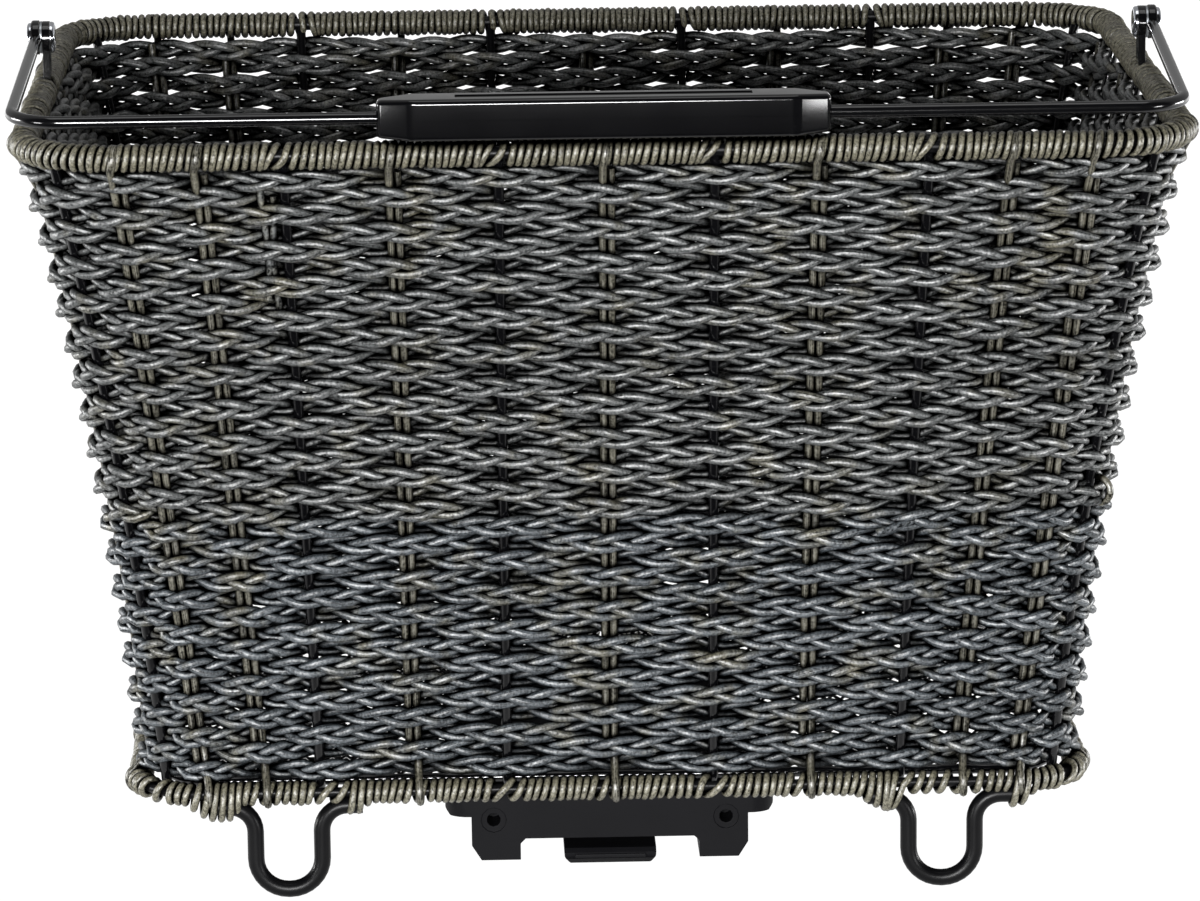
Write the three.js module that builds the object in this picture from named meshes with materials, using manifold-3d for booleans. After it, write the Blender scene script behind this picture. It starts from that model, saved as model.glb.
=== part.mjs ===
// Rear bicycle basket that clicks onto a luggage rack.
// A woven wall on a bent wire frame, a swinging carry handle and a moulded rack adapter with a release lever.
// Millimetres, +Z up. X runs along the long front wall, Y from the front wall to the rear wall.
// The origin is on the ground under the middle of the basket, which stands on four wire loops.
import * as THREE from "three";
import { mergeVertices } from "three/addons/utils/BufferGeometryUtils.js";
import Module from "manifold-3d";

// Driving dimensions

const GAP = 0.3; // air between pieces that touch or run on each other

// Basket outline, measured over the bound rims
const TOP_WIDTH = 450;
const TOP_DEPTH = 330;
const BOTTOM_WIDTH = 377;
const BOTTOM_DEPTH = 257;
const TOP_CORNER = 36; // bend radius of the top rim wire
const BOTTOM_CORNER = 26;
const RIM_SPACING = 257; // bottom rim wire up to top rim wire
const RIM_CLEARANCE = 42; // ground up to the bottom rim wire

// Wire, strand and binding diameters
const TOP_WIRE = 5;
const BOTTOM_WIRE = 4;
const FRAME_WIRE = 4;
const STRAND = 3;
const TOP_BINDING = 11;
const BOTTOM_BINDING = 10;
const WIRE_BEND = 5.5; // where a frame wire turns from the wall into the floor

// Woven wall
const WEAVE_THICKNESS = 12; // over the crests of the plaited rows, outside and inside the stakes
const ROW_SWAY = 1.6; // how far a row swings out in front of one stake and back behind the next
const WALL_ROWS = 35;
const CORNER_SHARE = 1 / 6; // part of a corner bend that belongs to the wall beside it
const CORNER_SWING = 1 - 4 * CORNER_SHARE; // what is left of the swing there, on the way to the corner post

// Stakes along half a wall, as shares of its straight length: at the top rim, then at the bottom rim
const LONG_WALL_TOP = [0, 0.221, 0.436, 0.66, 0.831, 1];
const LONG_WALL_BOTTOM = [0, 0.254, 0.483, 0.714, 0.857, 1];
const LONG_WALL_WIRES = [1, 3]; // these are bare frame wires, the others are twin strands
const SHORT_WALL = [0, 1 / 3, 2 / 3, 1];
const SHORT_WALL_WIRES = [0, 2];

// Mesh floor of long diamonds, drawn coarser than the real one
const MESH_THICKNESS = 2.5;
const MESH_STRAND = 2.4;
const MESH_BORDER = 5;
const DIAMOND_WIDTH = 29.8; // from the middle of one strand crossing to the next
const DIAMOND_LENGTH = 70;

// Standing loops
const FOOT_WIRE = 6;
const FOOT_SPACING = 254; // between the two loops of one wall
const FOOT_LOOP = 25.8; // between the legs of one loop
const FOOT_TURN = 11.2;
const FOOT_SHOULDER = 10;
const FOOT_TAIL = 10;

// Carry handle
const BAIL_ROD = 5;
const BAIL_WIDTH = 438; // rod to rod across the front
const BAIL_BEND = 20;
const PIVOT_HEIGHT = 21; // above the top rim wire
const PIVOT_BOLT = 5;
const LUG_INSIDE = 433.2; // between the inner faces of the two lugs
const LUG_THICKNESS = 2.8;
const LUG_EYE = 6.5;
const LUG_STEM = 9;
const WASHER_THICKNESS = 0.8;
const EYE_THICKNESS = 3.2;
const EYE_RADIUS = 6;
const BOLT_HEAD = 4.6;
const CAP_NUT = 5.6;
const GRIP_LENGTH = 172;
const GRIP_HEIGHT = 18;
const GRIP_DEPTH = 22;
const GRIP_CHAMFER = 12;
const GRIP_BEVEL = 2.2;
const LABEL_LENGTH = 118; // plain framed strip on the grip
const LABEL_WIDTH = 8;

// Rack adapter
const ADAPTER_FRONT = 105; // front face ahead of the middle of the basket
const ADAPTER_LENGTH = 170;
const FLANGE_WIDTH = 129;
const FLANGE_THICKNESS = 10;
const BLOCK_WIDTH = 108.5;
const CHANNEL_WIDTH = 70.2;
const CHANNEL_TOP = 16.3; // above the ground
const RAIL_BOTTOM = 7.7;
const RAIL_CHAMFER = 6;
const PORT_SPACING = 91.2;
const PORT_RADIUS = 2.7;
const PORT_RING = 5;
const CLAMP_WIDTH = 104;
const CLAMP_DEPTH = 122;
const CLAMP_THICKNESS = 3;
const SCREW = 5;
const SCREW_SPACING_X = 52;
const SCREW_SPACING_Y = 84;
const LEVER_WIDTH = 36;
const LEVER_REACH = 44; // pin to the lever's front face
const LEVER_TAB = 5.3;
const LEVER_PIN = 4;
const SPRING_RADIUS = 3.1;
const SPRING_WIRE = 0.9;
const SPRING_CURLS = 5;

// Solid modelling with manifold-3d

const wasm = await Module();
wasm.setup();

function solid(geometry) {
  const bare = new THREE.BufferGeometry();
  const loose = geometry.index ? geometry.toNonIndexed() : geometry;
  bare.setAttribute("position", loose.getAttribute("position").clone());
  const merged = mergeVertices(bare, 1e-4);
  return new wasm.Manifold(
    new wasm.Mesh({
      numProp: 3,
      vertProperties: merged.attributes.position.array,
      triVerts: new Uint32Array(merged.index.array),
    }),
  );
}

function surface(body) {
  const mesh = body.getMesh();
  const geometry = new THREE.BufferGeometry();
  geometry.setAttribute("position", new THREE.BufferAttribute(mesh.vertProperties, 3));
  geometry.setIndex(new THREE.BufferAttribute(mesh.triVerts, 1));
  return geometry;
}

const joined = (...pieces) => surface(wasm.Manifold.union(pieces.map(solid)));
const cut = (piece, ...cutters) =>
  surface(cutters.length ? solid(piece).subtract(wasm.Manifold.union(cutters.map(solid))) : solid(piece));
const common = (piece, other) => surface(solid(piece).intersect(solid(other)));

// Bent wire

const X = new THREE.Vector3(1, 0, 0);
const Y = new THREE.Vector3(0, 1, 0);
const Z = new THREE.Vector3(0, 0, 1);
const at = (x, y, z) => new THREE.Vector3(x, y, z);

// A path through set points, whose section keeps one axis along a fixed direction.
class WirePath extends THREE.Curve {
  constructor(points, across) {
    super();
    this.points = points;
    this.across = across;
  }
  getPoint(t) {
    const along = t * (this.points.length - 1);
    const i = Math.min(Math.floor(along + 1e-9), this.points.length - 2);
    return this.points[i].clone().lerp(this.points[i + 1], along - i);
  }
  getPointAt(u) {
    return this.getPoint(u);
  }
  computeFrenetFrames() {
    const ways = this.points.slice(1).map((p, i) => p.clone().sub(this.points[i]).normalize());
    const tangents = this.points.map((p, i) => {
      const before = ways[Math.max(i - 1, 0)];
      return before.clone().add(ways[Math.min(i, ways.length - 1)]).normalize();
    });
    const normals = tangents.map((t) =>
      this.across.clone().addScaledVector(t, -this.across.dot(t)).normalize(),
    );
    const binormals = tangents.map((t, i) => new THREE.Vector3().crossVectors(t, normals[i]));
    return { tangents, normals, binormals };
  }
}

// Corners of a polyline rounded to a bend radius.
function bent(corners, radius, steps) {
  const points = [corners[0]];
  for (let i = 1; i < corners.length - 1; i++) {
    const into = corners[i].clone().sub(corners[i - 1]).normalize();
    const out = corners[i + 1].clone().sub(corners[i]).normalize();
    const turn = into.angleTo(out);
    const inward = out.clone().addScaledVector(into, -Math.cos(turn)).normalize();
    const start = corners[i].clone().addScaledVector(into, -radius * Math.tan(turn / 2));
    for (let k = 0; k <= steps; k++) {
      const a = (turn * k) / steps;
      const point = start.clone().addScaledVector(into, radius * Math.sin(a));
      points.push(point.addScaledVector(inward, radius * (1 - Math.cos(a))));
    }
  }
  return [...points, corners[corners.length - 1]];
}

const shape = (points) => new THREE.Shape(points.map(([x, y]) => new THREE.Vector2(x, y)));

function round(radius, sides = 8) {
  const corner = (i) => (2 * Math.PI * (i + 0.5)) / sides;
  const spot = (_, i) => [radius * Math.cos(corner(i)), radius * Math.sin(corner(i))];
  return shape(Array.from({ length: sides }, spot));
}

const sweep = (section, points, across) =>
  new THREE.ExtrudeGeometry(section, { steps: points.length - 1, extrudePath: new WirePath(points, across) });

// Two strands side by side, touching along their length.
const r = STRAND / 2;
const twinStrand = shape([
  [2 * r, 0],
  [r, 0.95 * r],
  [0, 0.4 * r],
  [-r, 0.95 * r],
  [-2 * r, 0],
  [-r, -0.95 * r],
  [0, -0.4 * r],
  [r, -0.95 * r],
]);
const twinChannel = shape([
  [2 * r + GAP, 0.7 * r],
  [1.3 * r, r + GAP],
  [-1.3 * r, r + GAP],
  [-2 * r - GAP, 0.7 * r],
  [-2 * r - GAP, -0.7 * r],
  [-1.3 * r, -r - GAP],
  [1.3 * r, -r - GAP],
  [2 * r + GAP, -0.7 * r],
]);

// Plain shapes

function block(low, high) {
  const size = high.map((v, i) => v - low[i]);
  const geometry = new THREE.BoxGeometry(...size);
  return geometry.translate(...low.map((v, i) => v + size[i] / 2));
}

function rod(radius, from, to, sides = 16) {
  const way = to.clone().sub(from);
  const geometry = new THREE.CylinderGeometry(radius, radius, way.length(), sides);
  geometry.applyQuaternion(new THREE.Quaternion().setFromUnitVectors(Y, way.clone().normalize()));
  return geometry.translate(...from.clone().addScaledVector(way, 0.5).toArray());
}

// A profile of radius and height turned round X, its foot at x and its top towards the sign.
function turnedOnX(profile, sides, x, sign, y, z) {
  const geometry = new THREE.LatheGeometry(profile.map(([u, v]) => new THREE.Vector2(u, v)), sides);
  return geometry.rotateZ(sign > 0 ? -Math.PI / 2 : Math.PI / 2).translate(x, y, z);
}

const extruded = (outline, depth, curveSegments = 4) =>
  new THREE.ExtrudeGeometry(outline, { depth, bevelEnabled: false, curveSegments });

// A flat outline in the plane of X and Y, thickened upward from z.
const plate = (outline, z, thickness) => extruded(outline, thickness).translate(0, 0, z);

function roundedRectangle(width, depth, radius) {
  const outline = new THREE.Shape();
  const a = width / 2;
  const b = depth / 2;
  outline.absarc(a - radius, b - radius, radius, 0, Math.PI / 2);
  outline.absarc(radius - a, b - radius, radius, Math.PI / 2, Math.PI);
  outline.absarc(radius - a, radius - b, radius, Math.PI, 1.5 * Math.PI);
  outline.absarc(a - radius, radius - b, radius, 1.5 * Math.PI, 2 * Math.PI);
  return outline;
}

// The assembly

const basket = new THREE.Group();
basket.name = "bicycle_basket";
const finish = (color, roughness, metalness = 0) =>
  new THREE.MeshStandardMaterial({ color, roughness, metalness });
const blackWire = finish(0x17181a, 0.4, 0.3);
const binding = finish(0x6b6754, 0.6);
const weave = finish(0x6c6e6c, 0.6);
const plastic = finish(0x1b1c1e, 0.55);
const chrome = finish(0xc8cbd0, 0.15, 1);
const steel = finish(0x9a9da1, 0.35, 1);

function add(name, geometry, material) {
  const mesh = new THREE.Mesh(geometry, material);
  mesh.name = name;
  basket.add(mesh);
}

// Rims: a wire bent to a rounded rectangle, its ends meeting inside the binding at the middle of the rear

const ring = (width, depth, over, corner, z) => {
  return { a: (width - over) / 2, b: (depth - over) / 2, r: corner, z };
};
const topRing = ring(TOP_WIDTH, TOP_DEPTH, TOP_BINDING, TOP_CORNER, RIM_CLEARANCE + RIM_SPACING);
const bottomRing = ring(BOTTOM_WIDTH, BOTTOM_DEPTH, BOTTOM_BINDING, BOTTOM_CORNER, RIM_CLEARANCE);

function ringPath({ a, b, r: corner, z }, open = GAP) {
  const corners = [at(open, b, z), at(a, b, z), at(a, -b, z), at(-a, -b, z), at(-a, b, z), at(-open, b, z)];
  return bent(corners, corner, 4);
}

// Wall surface: each ring set in from its rim wire, so that the frame wires stand against the binding

const insetRing = (rim, inset) => ({ a: rim.a - inset, b: rim.b - inset, r: rim.r - inset, z: rim.z });
const wallTop = insetRing(topRing, (TOP_BINDING + FRAME_WIRE) / 2 + GAP);
const wallBottom = insetRing(bottomRing, (BOTTOM_BINDING + FRAME_WIRE) / 2 + GAP);

const outward = [at(0, -1, 0), at(1, 0, 0), at(0, 1, 0), at(-1, 0, 0)]; // front, right, rear, left
const acrossFace = (rim, face) => (face % 2 ? rim.a : rim.b);
const straight = (rim, face) => (face % 2 ? rim.b : rim.a) - rim.r;

function facePoint(rim, face, share) {
  const point = outward[face].clone().multiplyScalar(acrossFace(rim, face));
  return point.addScaledVector(outward[(face + 1) % 4], share * straight(rim, face)).setZ(rim.z);
}

const cornerWay = (face, turn) =>
  outward[face]
    .clone()
    .multiplyScalar(Math.cos((turn * Math.PI) / 2))
    .addScaledVector(outward[(face + 1) % 4], Math.sin((turn * Math.PI) / 2));

function cornerPoint(rim, face, turn) {
  const point = outward[face].clone().multiplyScalar(acrossFace(rim, face) - rim.r);
  point.addScaledVector(outward[(face + 1) % 4], straight(rim, face));
  return point.addScaledVector(cornerWay(face, turn), rim.r).setZ(rim.z);
}

// A column of the wall is a straight line from the bottom ring to the top ring.
const faceColumn = (face, topShare, bottomShare) => ({
  top: facePoint(wallTop, face, topShare),
  bottom: facePoint(wallBottom, face, bottomShare),
  out: outward[face],
});

function cornerColumn(face, turn, slack = 0) {
  const ease = (rim) => turn + slack / rim.r;
  return {
    top: cornerPoint(wallTop, face, ease(wallTop)),
    bottom: cornerPoint(wallBottom, face, ease(wallBottom)),
    out: cornerWay(face, turn),
  };
}

function onColumn(column, z, offset = 0) {
  const share = (z - wallBottom.z) / (wallTop.z - wallBottom.z);
  return column.bottom.clone().lerp(column.top, share).addScaledVector(column.out, offset);
}

// The stakes of each wall from one end to the other, and a post in each corner.
const mirrored = (list) => [...list.slice(1).reverse().map((v) => -v), ...list];
const walls = outward.map((_, face) => {
  const tops = mirrored(face % 2 ? SHORT_WALL : LONG_WALL_TOP);
  const bottoms = mirrored(face % 2 ? SHORT_WALL : LONG_WALL_BOTTOM);
  const wires = face % 2 ? SHORT_WALL_WIRES : LONG_WALL_WIRES;
  const middle = (tops.length - 1) / 2;
  return tops.map((share, i) => ({
    ...faceColumn(face, share, bottoms[i]),
    wire: wires.includes(Math.abs(i - middle)),
    swing: i % 2 ? -1 : 1,
  }));
});
const posts = outward.map((_, face) => ({ ...cornerColumn(face, 0.5), wire: true, swing: -1 }));

// Woven panels: a closed sheet whose rows swing out in front of one stake and back behind the next

function wovenPanel(columns, rows, place) {
  const positions = [];
  const half = WEAVE_THICKNESS / 2 - ROW_SWAY;
  const edge = (k) => k < 0 || k === rows;
  const level = (k) => (edge(k) ? Math.sign(k + 1) : (k + 0.5) / rows);
  const sway = (c, k) => (edge(k) ? 0 : columns[c].swing * (k % 2 ? -ROW_SWAY : ROW_SWAY));
  const point = (c, k, face) => place(columns[c], level(k), face * half + sway(c, k));
  const quad = (a, b, c, d) => [a, b, c, a, c, d].forEach((p) => positions.push(p.x, p.y, p.z));
  const end = columns.length - 1;
  const top = rows;
  for (let c = 0; c < end; c++) {
    for (let k = -1; k < top; k++) {
      quad(point(c, k, 1), point(c + 1, k, 1), point(c + 1, k + 1, 1), point(c, k + 1, 1));
      quad(point(c, k + 1, -1), point(c + 1, k + 1, -1), point(c + 1, k, -1), point(c, k, -1));
    }
    quad(point(c, top, 1), point(c + 1, top, 1), point(c + 1, top, -1), point(c, top, -1));
    quad(point(c, -1, -1), point(c + 1, -1, -1), point(c + 1, -1, 1), point(c, -1, 1));
  }
  for (let k = -1; k < top; k++) {
    quad(point(0, k, -1), point(0, k, 1), point(0, k + 1, 1), point(0, k + 1, -1));
    quad(point(end, k, 1), point(end, k, -1), point(end, k + 1, -1), point(end, k + 1, 1));
  }
  const geometry = new THREE.BufferGeometry();
  return geometry.setAttribute("position", new THREE.Float32BufferAttribute(positions, 3));
}

const floorZ = bottomRing.z;
const weaveHalf = WEAVE_THICKNESS / 2;
const wallLow = floorZ + BOTTOM_BINDING / 2 + 2 * GAP;
const wallHigh = topRing.z - TOP_BINDING / 2 - 2 * GAP;
const wallPlace = (column, share, offset) => onColumn(column, wallLow + (wallHigh - wallLow) * share, offset);

const stakeShape = (stake) => (stake.wire ? round(FRAME_WIRE / 2, 6) : twinStrand);
const channelShape = (stake) => (stake.wire ? round(FRAME_WIRE / 2 + GAP) : twinChannel);
const alongWall = (stake) => new THREE.Vector3().crossVectors(Z, stake.out);
const channel = (stake) => {
  const line = [onColumn(stake, wallLow - 5), onColumn(stake, wallHigh + 5)];
  return sweep(channelShape(stake), line, alongWall(stake));
};

function wallPanel(name, columns, stakes) {
  const panel = wovenPanel(columns, WALL_ROWS, wallPlace);
  add(name, cut(panel, ...stakes.map(channel)), weave);
}

const slack = GAP / Math.PI;
["front", "right", "rear", "left"].forEach((side, face) => {
  const before = { ...cornerColumn((face + 3) % 4, 1 - CORNER_SHARE, slack), swing: CORNER_SWING };
  const after = { ...cornerColumn(face, CORNER_SHARE, -slack), swing: CORNER_SWING };
  wallPanel("weave_" + side, [before, ...walls[face], after], walls[face]);
});
["front_right", "rear_right", "rear_left", "front_left"].forEach((corner, face) => {
  const ends = [cornerColumn(face, CORNER_SHARE, slack), cornerColumn(face, 1 - CORNER_SHARE, -slack)];
  ends.forEach((column) => (column.swing = CORNER_SWING));
  wallPanel("weave_corner_" + corner, [ends[0], posts[face], ends[1]], [posts[face]]);
  const post = [onColumn(posts[face], wallBottom.z - BOTTOM_WIRE), onColumn(posts[face], wallTop.z)];
  add("corner_post_" + corner, sweep(round(FRAME_WIRE / 2, 6), post, alongWall(posts[face])), blackWire);
});

// Stakes that run down one wall, under the floor and up the opposite wall

const crossZ = floorZ - FRAME_WIRE - GAP;
const stakeTop = (stake) => wallTop.z - (stake.wire ? 0 : TOP_BINDING / 4);

function hoop(near, far, z) {
  const down = [onColumn(near, stakeTop(near)), onColumn(near, z)];
  const up = [onColumn(far, z), onColumn(far, stakeTop(far))];
  return sweep(stakeShape(near), bent([...down, ...up], WIRE_BEND, 3), alongWall(near));
}

const opposite = (wall) => [...wall].reverse();
let hoops = 0;
let twins = 0;
opposite(walls[2]).forEach((far, i) => {
  const near = walls[0][i];
  const name = near.wire ? "hoop_wire_" + ++hoops : "stake_pair_" + ++twins;
  add(name, hoop(near, far, floorZ), near.wire ? blackWire : binding);
});
let crossHoops = 0;
let crossTwins = 0;
opposite(walls[3]).forEach((far, i) => {
  const near = walls[1][i];
  const name = near.wire ? "cross_wire_" + ++crossHoops : "cross_stake_" + ++crossTwins;
  add(name, hoop(near, far, crossZ), near.wire ? blackWire : binding);
});

// Mesh floor on the wires and stakes that cross from front to rear

const screwSpots = [-1, 1].flatMap((sx) =>
  [-1, 1].map((sy) => [(sx * SCREW_SPACING_X) / 2, (sy * SCREW_SPACING_Y) / 2]),
);
const screwWay = ([x, y], low, high) => rod(SCREW / 2 + GAP, at(x, y, low), at(x, y, high), 8);
const meshLow = floorZ + FRAME_WIRE / 2 + GAP;
const meshTop = meshLow + MESH_THICKNESS;
const meshReach = wallBottom.b - WIRE_BEND - 2 * GAP;
const meshEdge = wallBottom.a - weaveHalf - 3 * GAP;

function meshFloor() {
  const outline = roundedRectangle(2 * meshEdge, 2 * meshReach, wallBottom.r);
  const [w, l] = [DIAMOND_WIDTH / 2, DIAMOND_LENGTH / 2];
  const open = 1 - (MESH_STRAND * Math.hypot(w, l)) / (2 * w * l);
  const columns = Math.floor((meshEdge - MESH_BORDER) / w);
  const rows = Math.floor((meshReach - MESH_BORDER) / l);
  for (let i = 1 - columns; i < columns; i++) {
    for (let k = 1 - rows; k < rows; k++) {
      if ((i + k) % 2) continue;
      const diamond = [[i + open, k], [i, k + open], [i - open, k], [i, k - open]];
      outline.holes.push(new THREE.Path(diamond.map(([u, v]) => new THREE.Vector2(u * w, v * l))));
    }
  }
  return plate(outline, meshLow, MESH_THICKNESS);
}

const meshScrewWays = screwSpots.map((spot) => screwWay(spot, meshLow - SCREW, meshTop + SCREW));
add("weave_floor", cut(meshFloor(), ...meshScrewWays), blackWire);

// Standing loops under the front and rear rim wires

const tailZ = bottomRing.z - BOTTOM_WIRE / 2 - FOOT_WIRE / 2 - GAP;
const footBottom = (FOOT_WIRE / 2) * Math.cos(Math.PI / 8);

function footPath(x, y) {
  const h = FOOT_LOOP / 2;
  const end = h + FOOT_SHOULDER + FOOT_TAIL;
  const leg = (side, z) => at(x + side * h, y, z);
  const shoulders = (side) => [at(x + side * end, y, tailZ), leg(side, tailZ), leg(side, tailZ / 2)];
  const left = bent(shoulders(-1), FOOT_SHOULDER, 3).slice(0, -1);
  const turn = [leg(-1, tailZ / 2), leg(-1, footBottom), leg(1, footBottom), leg(1, tailZ / 2)];
  const right = bent(shoulders(1), FOOT_SHOULDER, 3).slice(0, -1).reverse();
  return [...left, ...bent(turn, FOOT_TURN, 3).slice(1, -1), ...right];
}

const footSpots = [
  ["front_left", -1, -1],
  ["front_right", 1, -1],
  ["rear_left", -1, 1],
  ["rear_right", 1, 1],
];
const footPaths = footSpots.map(([, sx, sy]) => footPath((sx * FOOT_SPACING) / 2, sy * bottomRing.b));
footSpots.forEach(([corner], i) => {
  add("foot_loop_" + corner, sweep(round(FOOT_WIRE / 2), footPaths[i], Y), blackWire);
});

// Lugs on the top rim wire carry the handle's pivot

const pivotZ = topRing.z + PIVOT_HEIGHT;
const lugFoot = topRing.z + TOP_WIRE / 2 + GAP;
const lugInner = LUG_INSIDE / 2;
const lugOuter = lugInner + LUG_THICKNESS;

// A plate in the plane of Y and Z with a round eye at the pivot and a stem towards the given way.
function eyePlate(eye, stem, reach, way, x, thickness) {
  const outline = new THREE.Shape();
  const spread = Math.asin(stem / 2 / eye);
  outline.absarc(0, 0, eye, spread, 2 * Math.PI - spread);
  outline.lineTo(reach, -stem / 2);
  outline.lineTo(reach, stem / 2);
  const hole = new THREE.Path().absarc(0, 0, PIVOT_BOLT / 2 + GAP, 0, 2 * Math.PI, true);
  outline.holes.push(hole);
  const geometry = extruded(outline, thickness, 7);
  geometry.applyMatrix4(new THREE.Matrix4().makeBasis(Y, Z, X)).rotateX(Math.atan2(way.z, way.y));
  return geometry.translate(x, 0, pivotZ);
}

const lugCut = (sx) => {
  const xs = [sx * lugInner, sx * lugOuter].sort((p, q) => p - q);
  const half = LUG_STEM / 2 + GAP;
  return block([xs[0] - GAP, -half, lugFoot - GAP], [xs[1] + GAP, half, lugFoot + TOP_BINDING]);
};

// Bound rims

const ringSweep = (rim, diameter, open, sides) => sweep(round(diameter / 2, sides), ringPath(rim, open), Z);
add("top_rim_wire", ringSweep(topRing, TOP_WIRE, GAP, 6), blackWire);
add("bottom_rim_wire", ringSweep(bottomRing, BOTTOM_WIRE, GAP, 6), blackWire);
const sleeve = (rim, outer, inner, ...cutters) =>
  cut(ringSweep(rim, outer, GAP, 8), ringSweep(rim, inner + 2 * GAP, GAP / 2, 6), ...cutters);
add("top_binding", sleeve(topRing, TOP_BINDING, TOP_WIRE, lugCut(-1), lugCut(1)), binding);
const footCuts = footSpots.map(([, sx, sy]) => {
  const reach = FOOT_LOOP / 2 + FOOT_SHOULDER + FOOT_TAIL + GAP;
  const wide = FOOT_WIRE / 2 + GAP;
  const [x, y] = [(sx * FOOT_SPACING) / 2, sy * bottomRing.b];
  return block([x - reach, y - wide, tailZ - FOOT_WIRE], [x + reach, y + wide, tailZ + wide]);
});
add("bottom_binding", sleeve(bottomRing, BOTTOM_BINDING, BOTTOM_WIRE, ...footCuts), binding);

// Carry handle: one bent rod with a flattened eye at each end, folded forward, its grip on the front rim

const gripZ = topRing.z + TOP_BINDING / 2 + GAP + GRIP_HEIGHT / 2;
const foldWay = at(0, -topRing.b, gripZ - pivotZ).normalize();
const washerOuter = lugOuter + GAP + WASHER_THICKNESS;
const eyeInner = washerOuter + GAP;
const eyeMiddle = eyeInner + EYE_THICKNESS / 2;
const armStart = LUG_EYE + 1;
const bailCorner = (sx) => at((sx * BAIL_WIDTH) / 2, -topRing.b, gripZ);
const armX = eyeMiddle - (EYE_THICKNESS - BAIL_ROD / 2) / 2;
const armEnd = (sx) => at(sx * armX, 0, pivotZ).addScaledVector(foldWay, armStart);
const bailPath = bent([armEnd(-1), bailCorner(-1), bailCorner(1), armEnd(1)], BAIL_BEND, 4);
const bailNormal = new THREE.Vector3().crossVectors(X, foldWay);
const bailEye = (sx) => {
  const x = sx > 0 ? eyeInner : -eyeInner - EYE_THICKNESS;
  return eyePlate(EYE_RADIUS, BAIL_ROD, armStart + BAIL_ROD, foldWay, x, EYE_THICKNESS);
};
add("bail_rod", joined(sweep(round(BAIL_ROD / 2), bailPath, bailNormal), bailEye(-1), bailEye(1)), blackWire);

for (const [side, sx] of [
  ["left", -1],
  ["right", 1],
]) {
  const lugX = sx > 0 ? lugInner : -lugOuter;
  const lug = eyePlate(LUG_EYE, LUG_STEM, pivotZ - lugFoot, at(0, 0, -1), lugX, LUG_THICKNESS);
  add("handle_lug_" + side, lug, blackWire);
  const washer = (x, radius, thickness) =>
    turnedOnX([[PIVOT_BOLT / 2 + GAP, 0], [radius, 0], [radius, thickness], [PIVOT_BOLT / 2 + GAP, thickness],
      [PIVOT_BOLT / 2 + GAP, 0]], 10, sx * x, sx, 0, pivotZ);
  add("pivot_washer_" + side, washer(lugOuter + GAP, EYE_RADIUS - 0.5, WASHER_THICKNESS), steel);
  const headX = eyeInner + EYE_THICKNESS + GAP;
  const shank = headX - lugInner + 3;
  const bolt = [[0, -shank], [PIVOT_BOLT / 2, -shank], [PIVOT_BOLT / 2, 0], [BOLT_HEAD, 0], [BOLT_HEAD, 0.8],
    [BOLT_HEAD * 0.75, 2], [BOLT_HEAD * 0.35, 2.6], [0, 2.7]];
  add("pivot_bolt_" + side, turnedOnX(bolt, 10, sx * headX, sx, 0, pivotZ), chrome);
  const bore = PIVOT_BOLT / 2 + GAP;
  const depth = 3 + GAP;
  const nut = [[bore, 0], [CAP_NUT, 0], [CAP_NUT, 1.4], [CAP_NUT * 0.7, 3.4], [CAP_NUT * 0.3, depth + 1],
    [0, depth + 1.1], [0, depth], [bore, depth], [bore, 0]];
  add("pivot_nut_" + side, turnedOnX(nut, 10, sx * (lugInner - GAP), -sx, 0, pivotZ), chrome);
}

// Grip: two half shells closed round the rod

const gl = GRIP_LENGTH / 2 - GRIP_BEVEL;
const gd = GRIP_DEPTH / 2 - GRIP_BEVEL;
const end = gd * 0.4;
const gripOutline = shape([
  [gl, -end],
  [gl, end],
  [gl - GRIP_CHAMFER, gd],
  [GRIP_CHAMFER - gl, gd],
  [-gl, end],
  [-gl, -end],
  [GRIP_CHAMFER - gl, -gd],
  [gl - GRIP_CHAMFER, -gd],
]);
const gripBlank = new THREE.ExtrudeGeometry(gripOutline, {
  depth: GRIP_HEIGHT - 2 * GRIP_BEVEL,
  bevelThickness: GRIP_BEVEL,
  bevelSize: GRIP_BEVEL,
  bevelSegments: 1,
}).translate(0, -topRing.b, gripZ - GRIP_HEIGHT / 2 + GRIP_BEVEL);
const far = GRIP_LENGTH;
const half = (low, high) => block([-far, -topRing.b - far, low], [far, -topRing.b + far, high]);
const rodBore = rod(BAIL_ROD / 2 + GAP, at(-far, -topRing.b, gripZ), at(far, -topRing.b, gripZ), 10);
const label = block(
  [-LABEL_LENGTH / 2, -topRing.b - LABEL_WIDTH / 2, gripZ + GRIP_HEIGHT / 2 - 0.6],
  [LABEL_LENGTH / 2, -topRing.b + LABEL_WIDTH / 2, gripZ + GRIP_HEIGHT],
);
add("grip_upper_shell", cut(common(gripBlank, half(gripZ + GAP / 2, gripZ + far)), rodBore, label), plastic);
add("grip_lower_shell", cut(common(gripBlank, half(gripZ - far, gripZ - GAP / 2)), rodBore), plastic);

// Rack adapter: a flanged block with two rails, screwed up to a plate inside the basket

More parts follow.
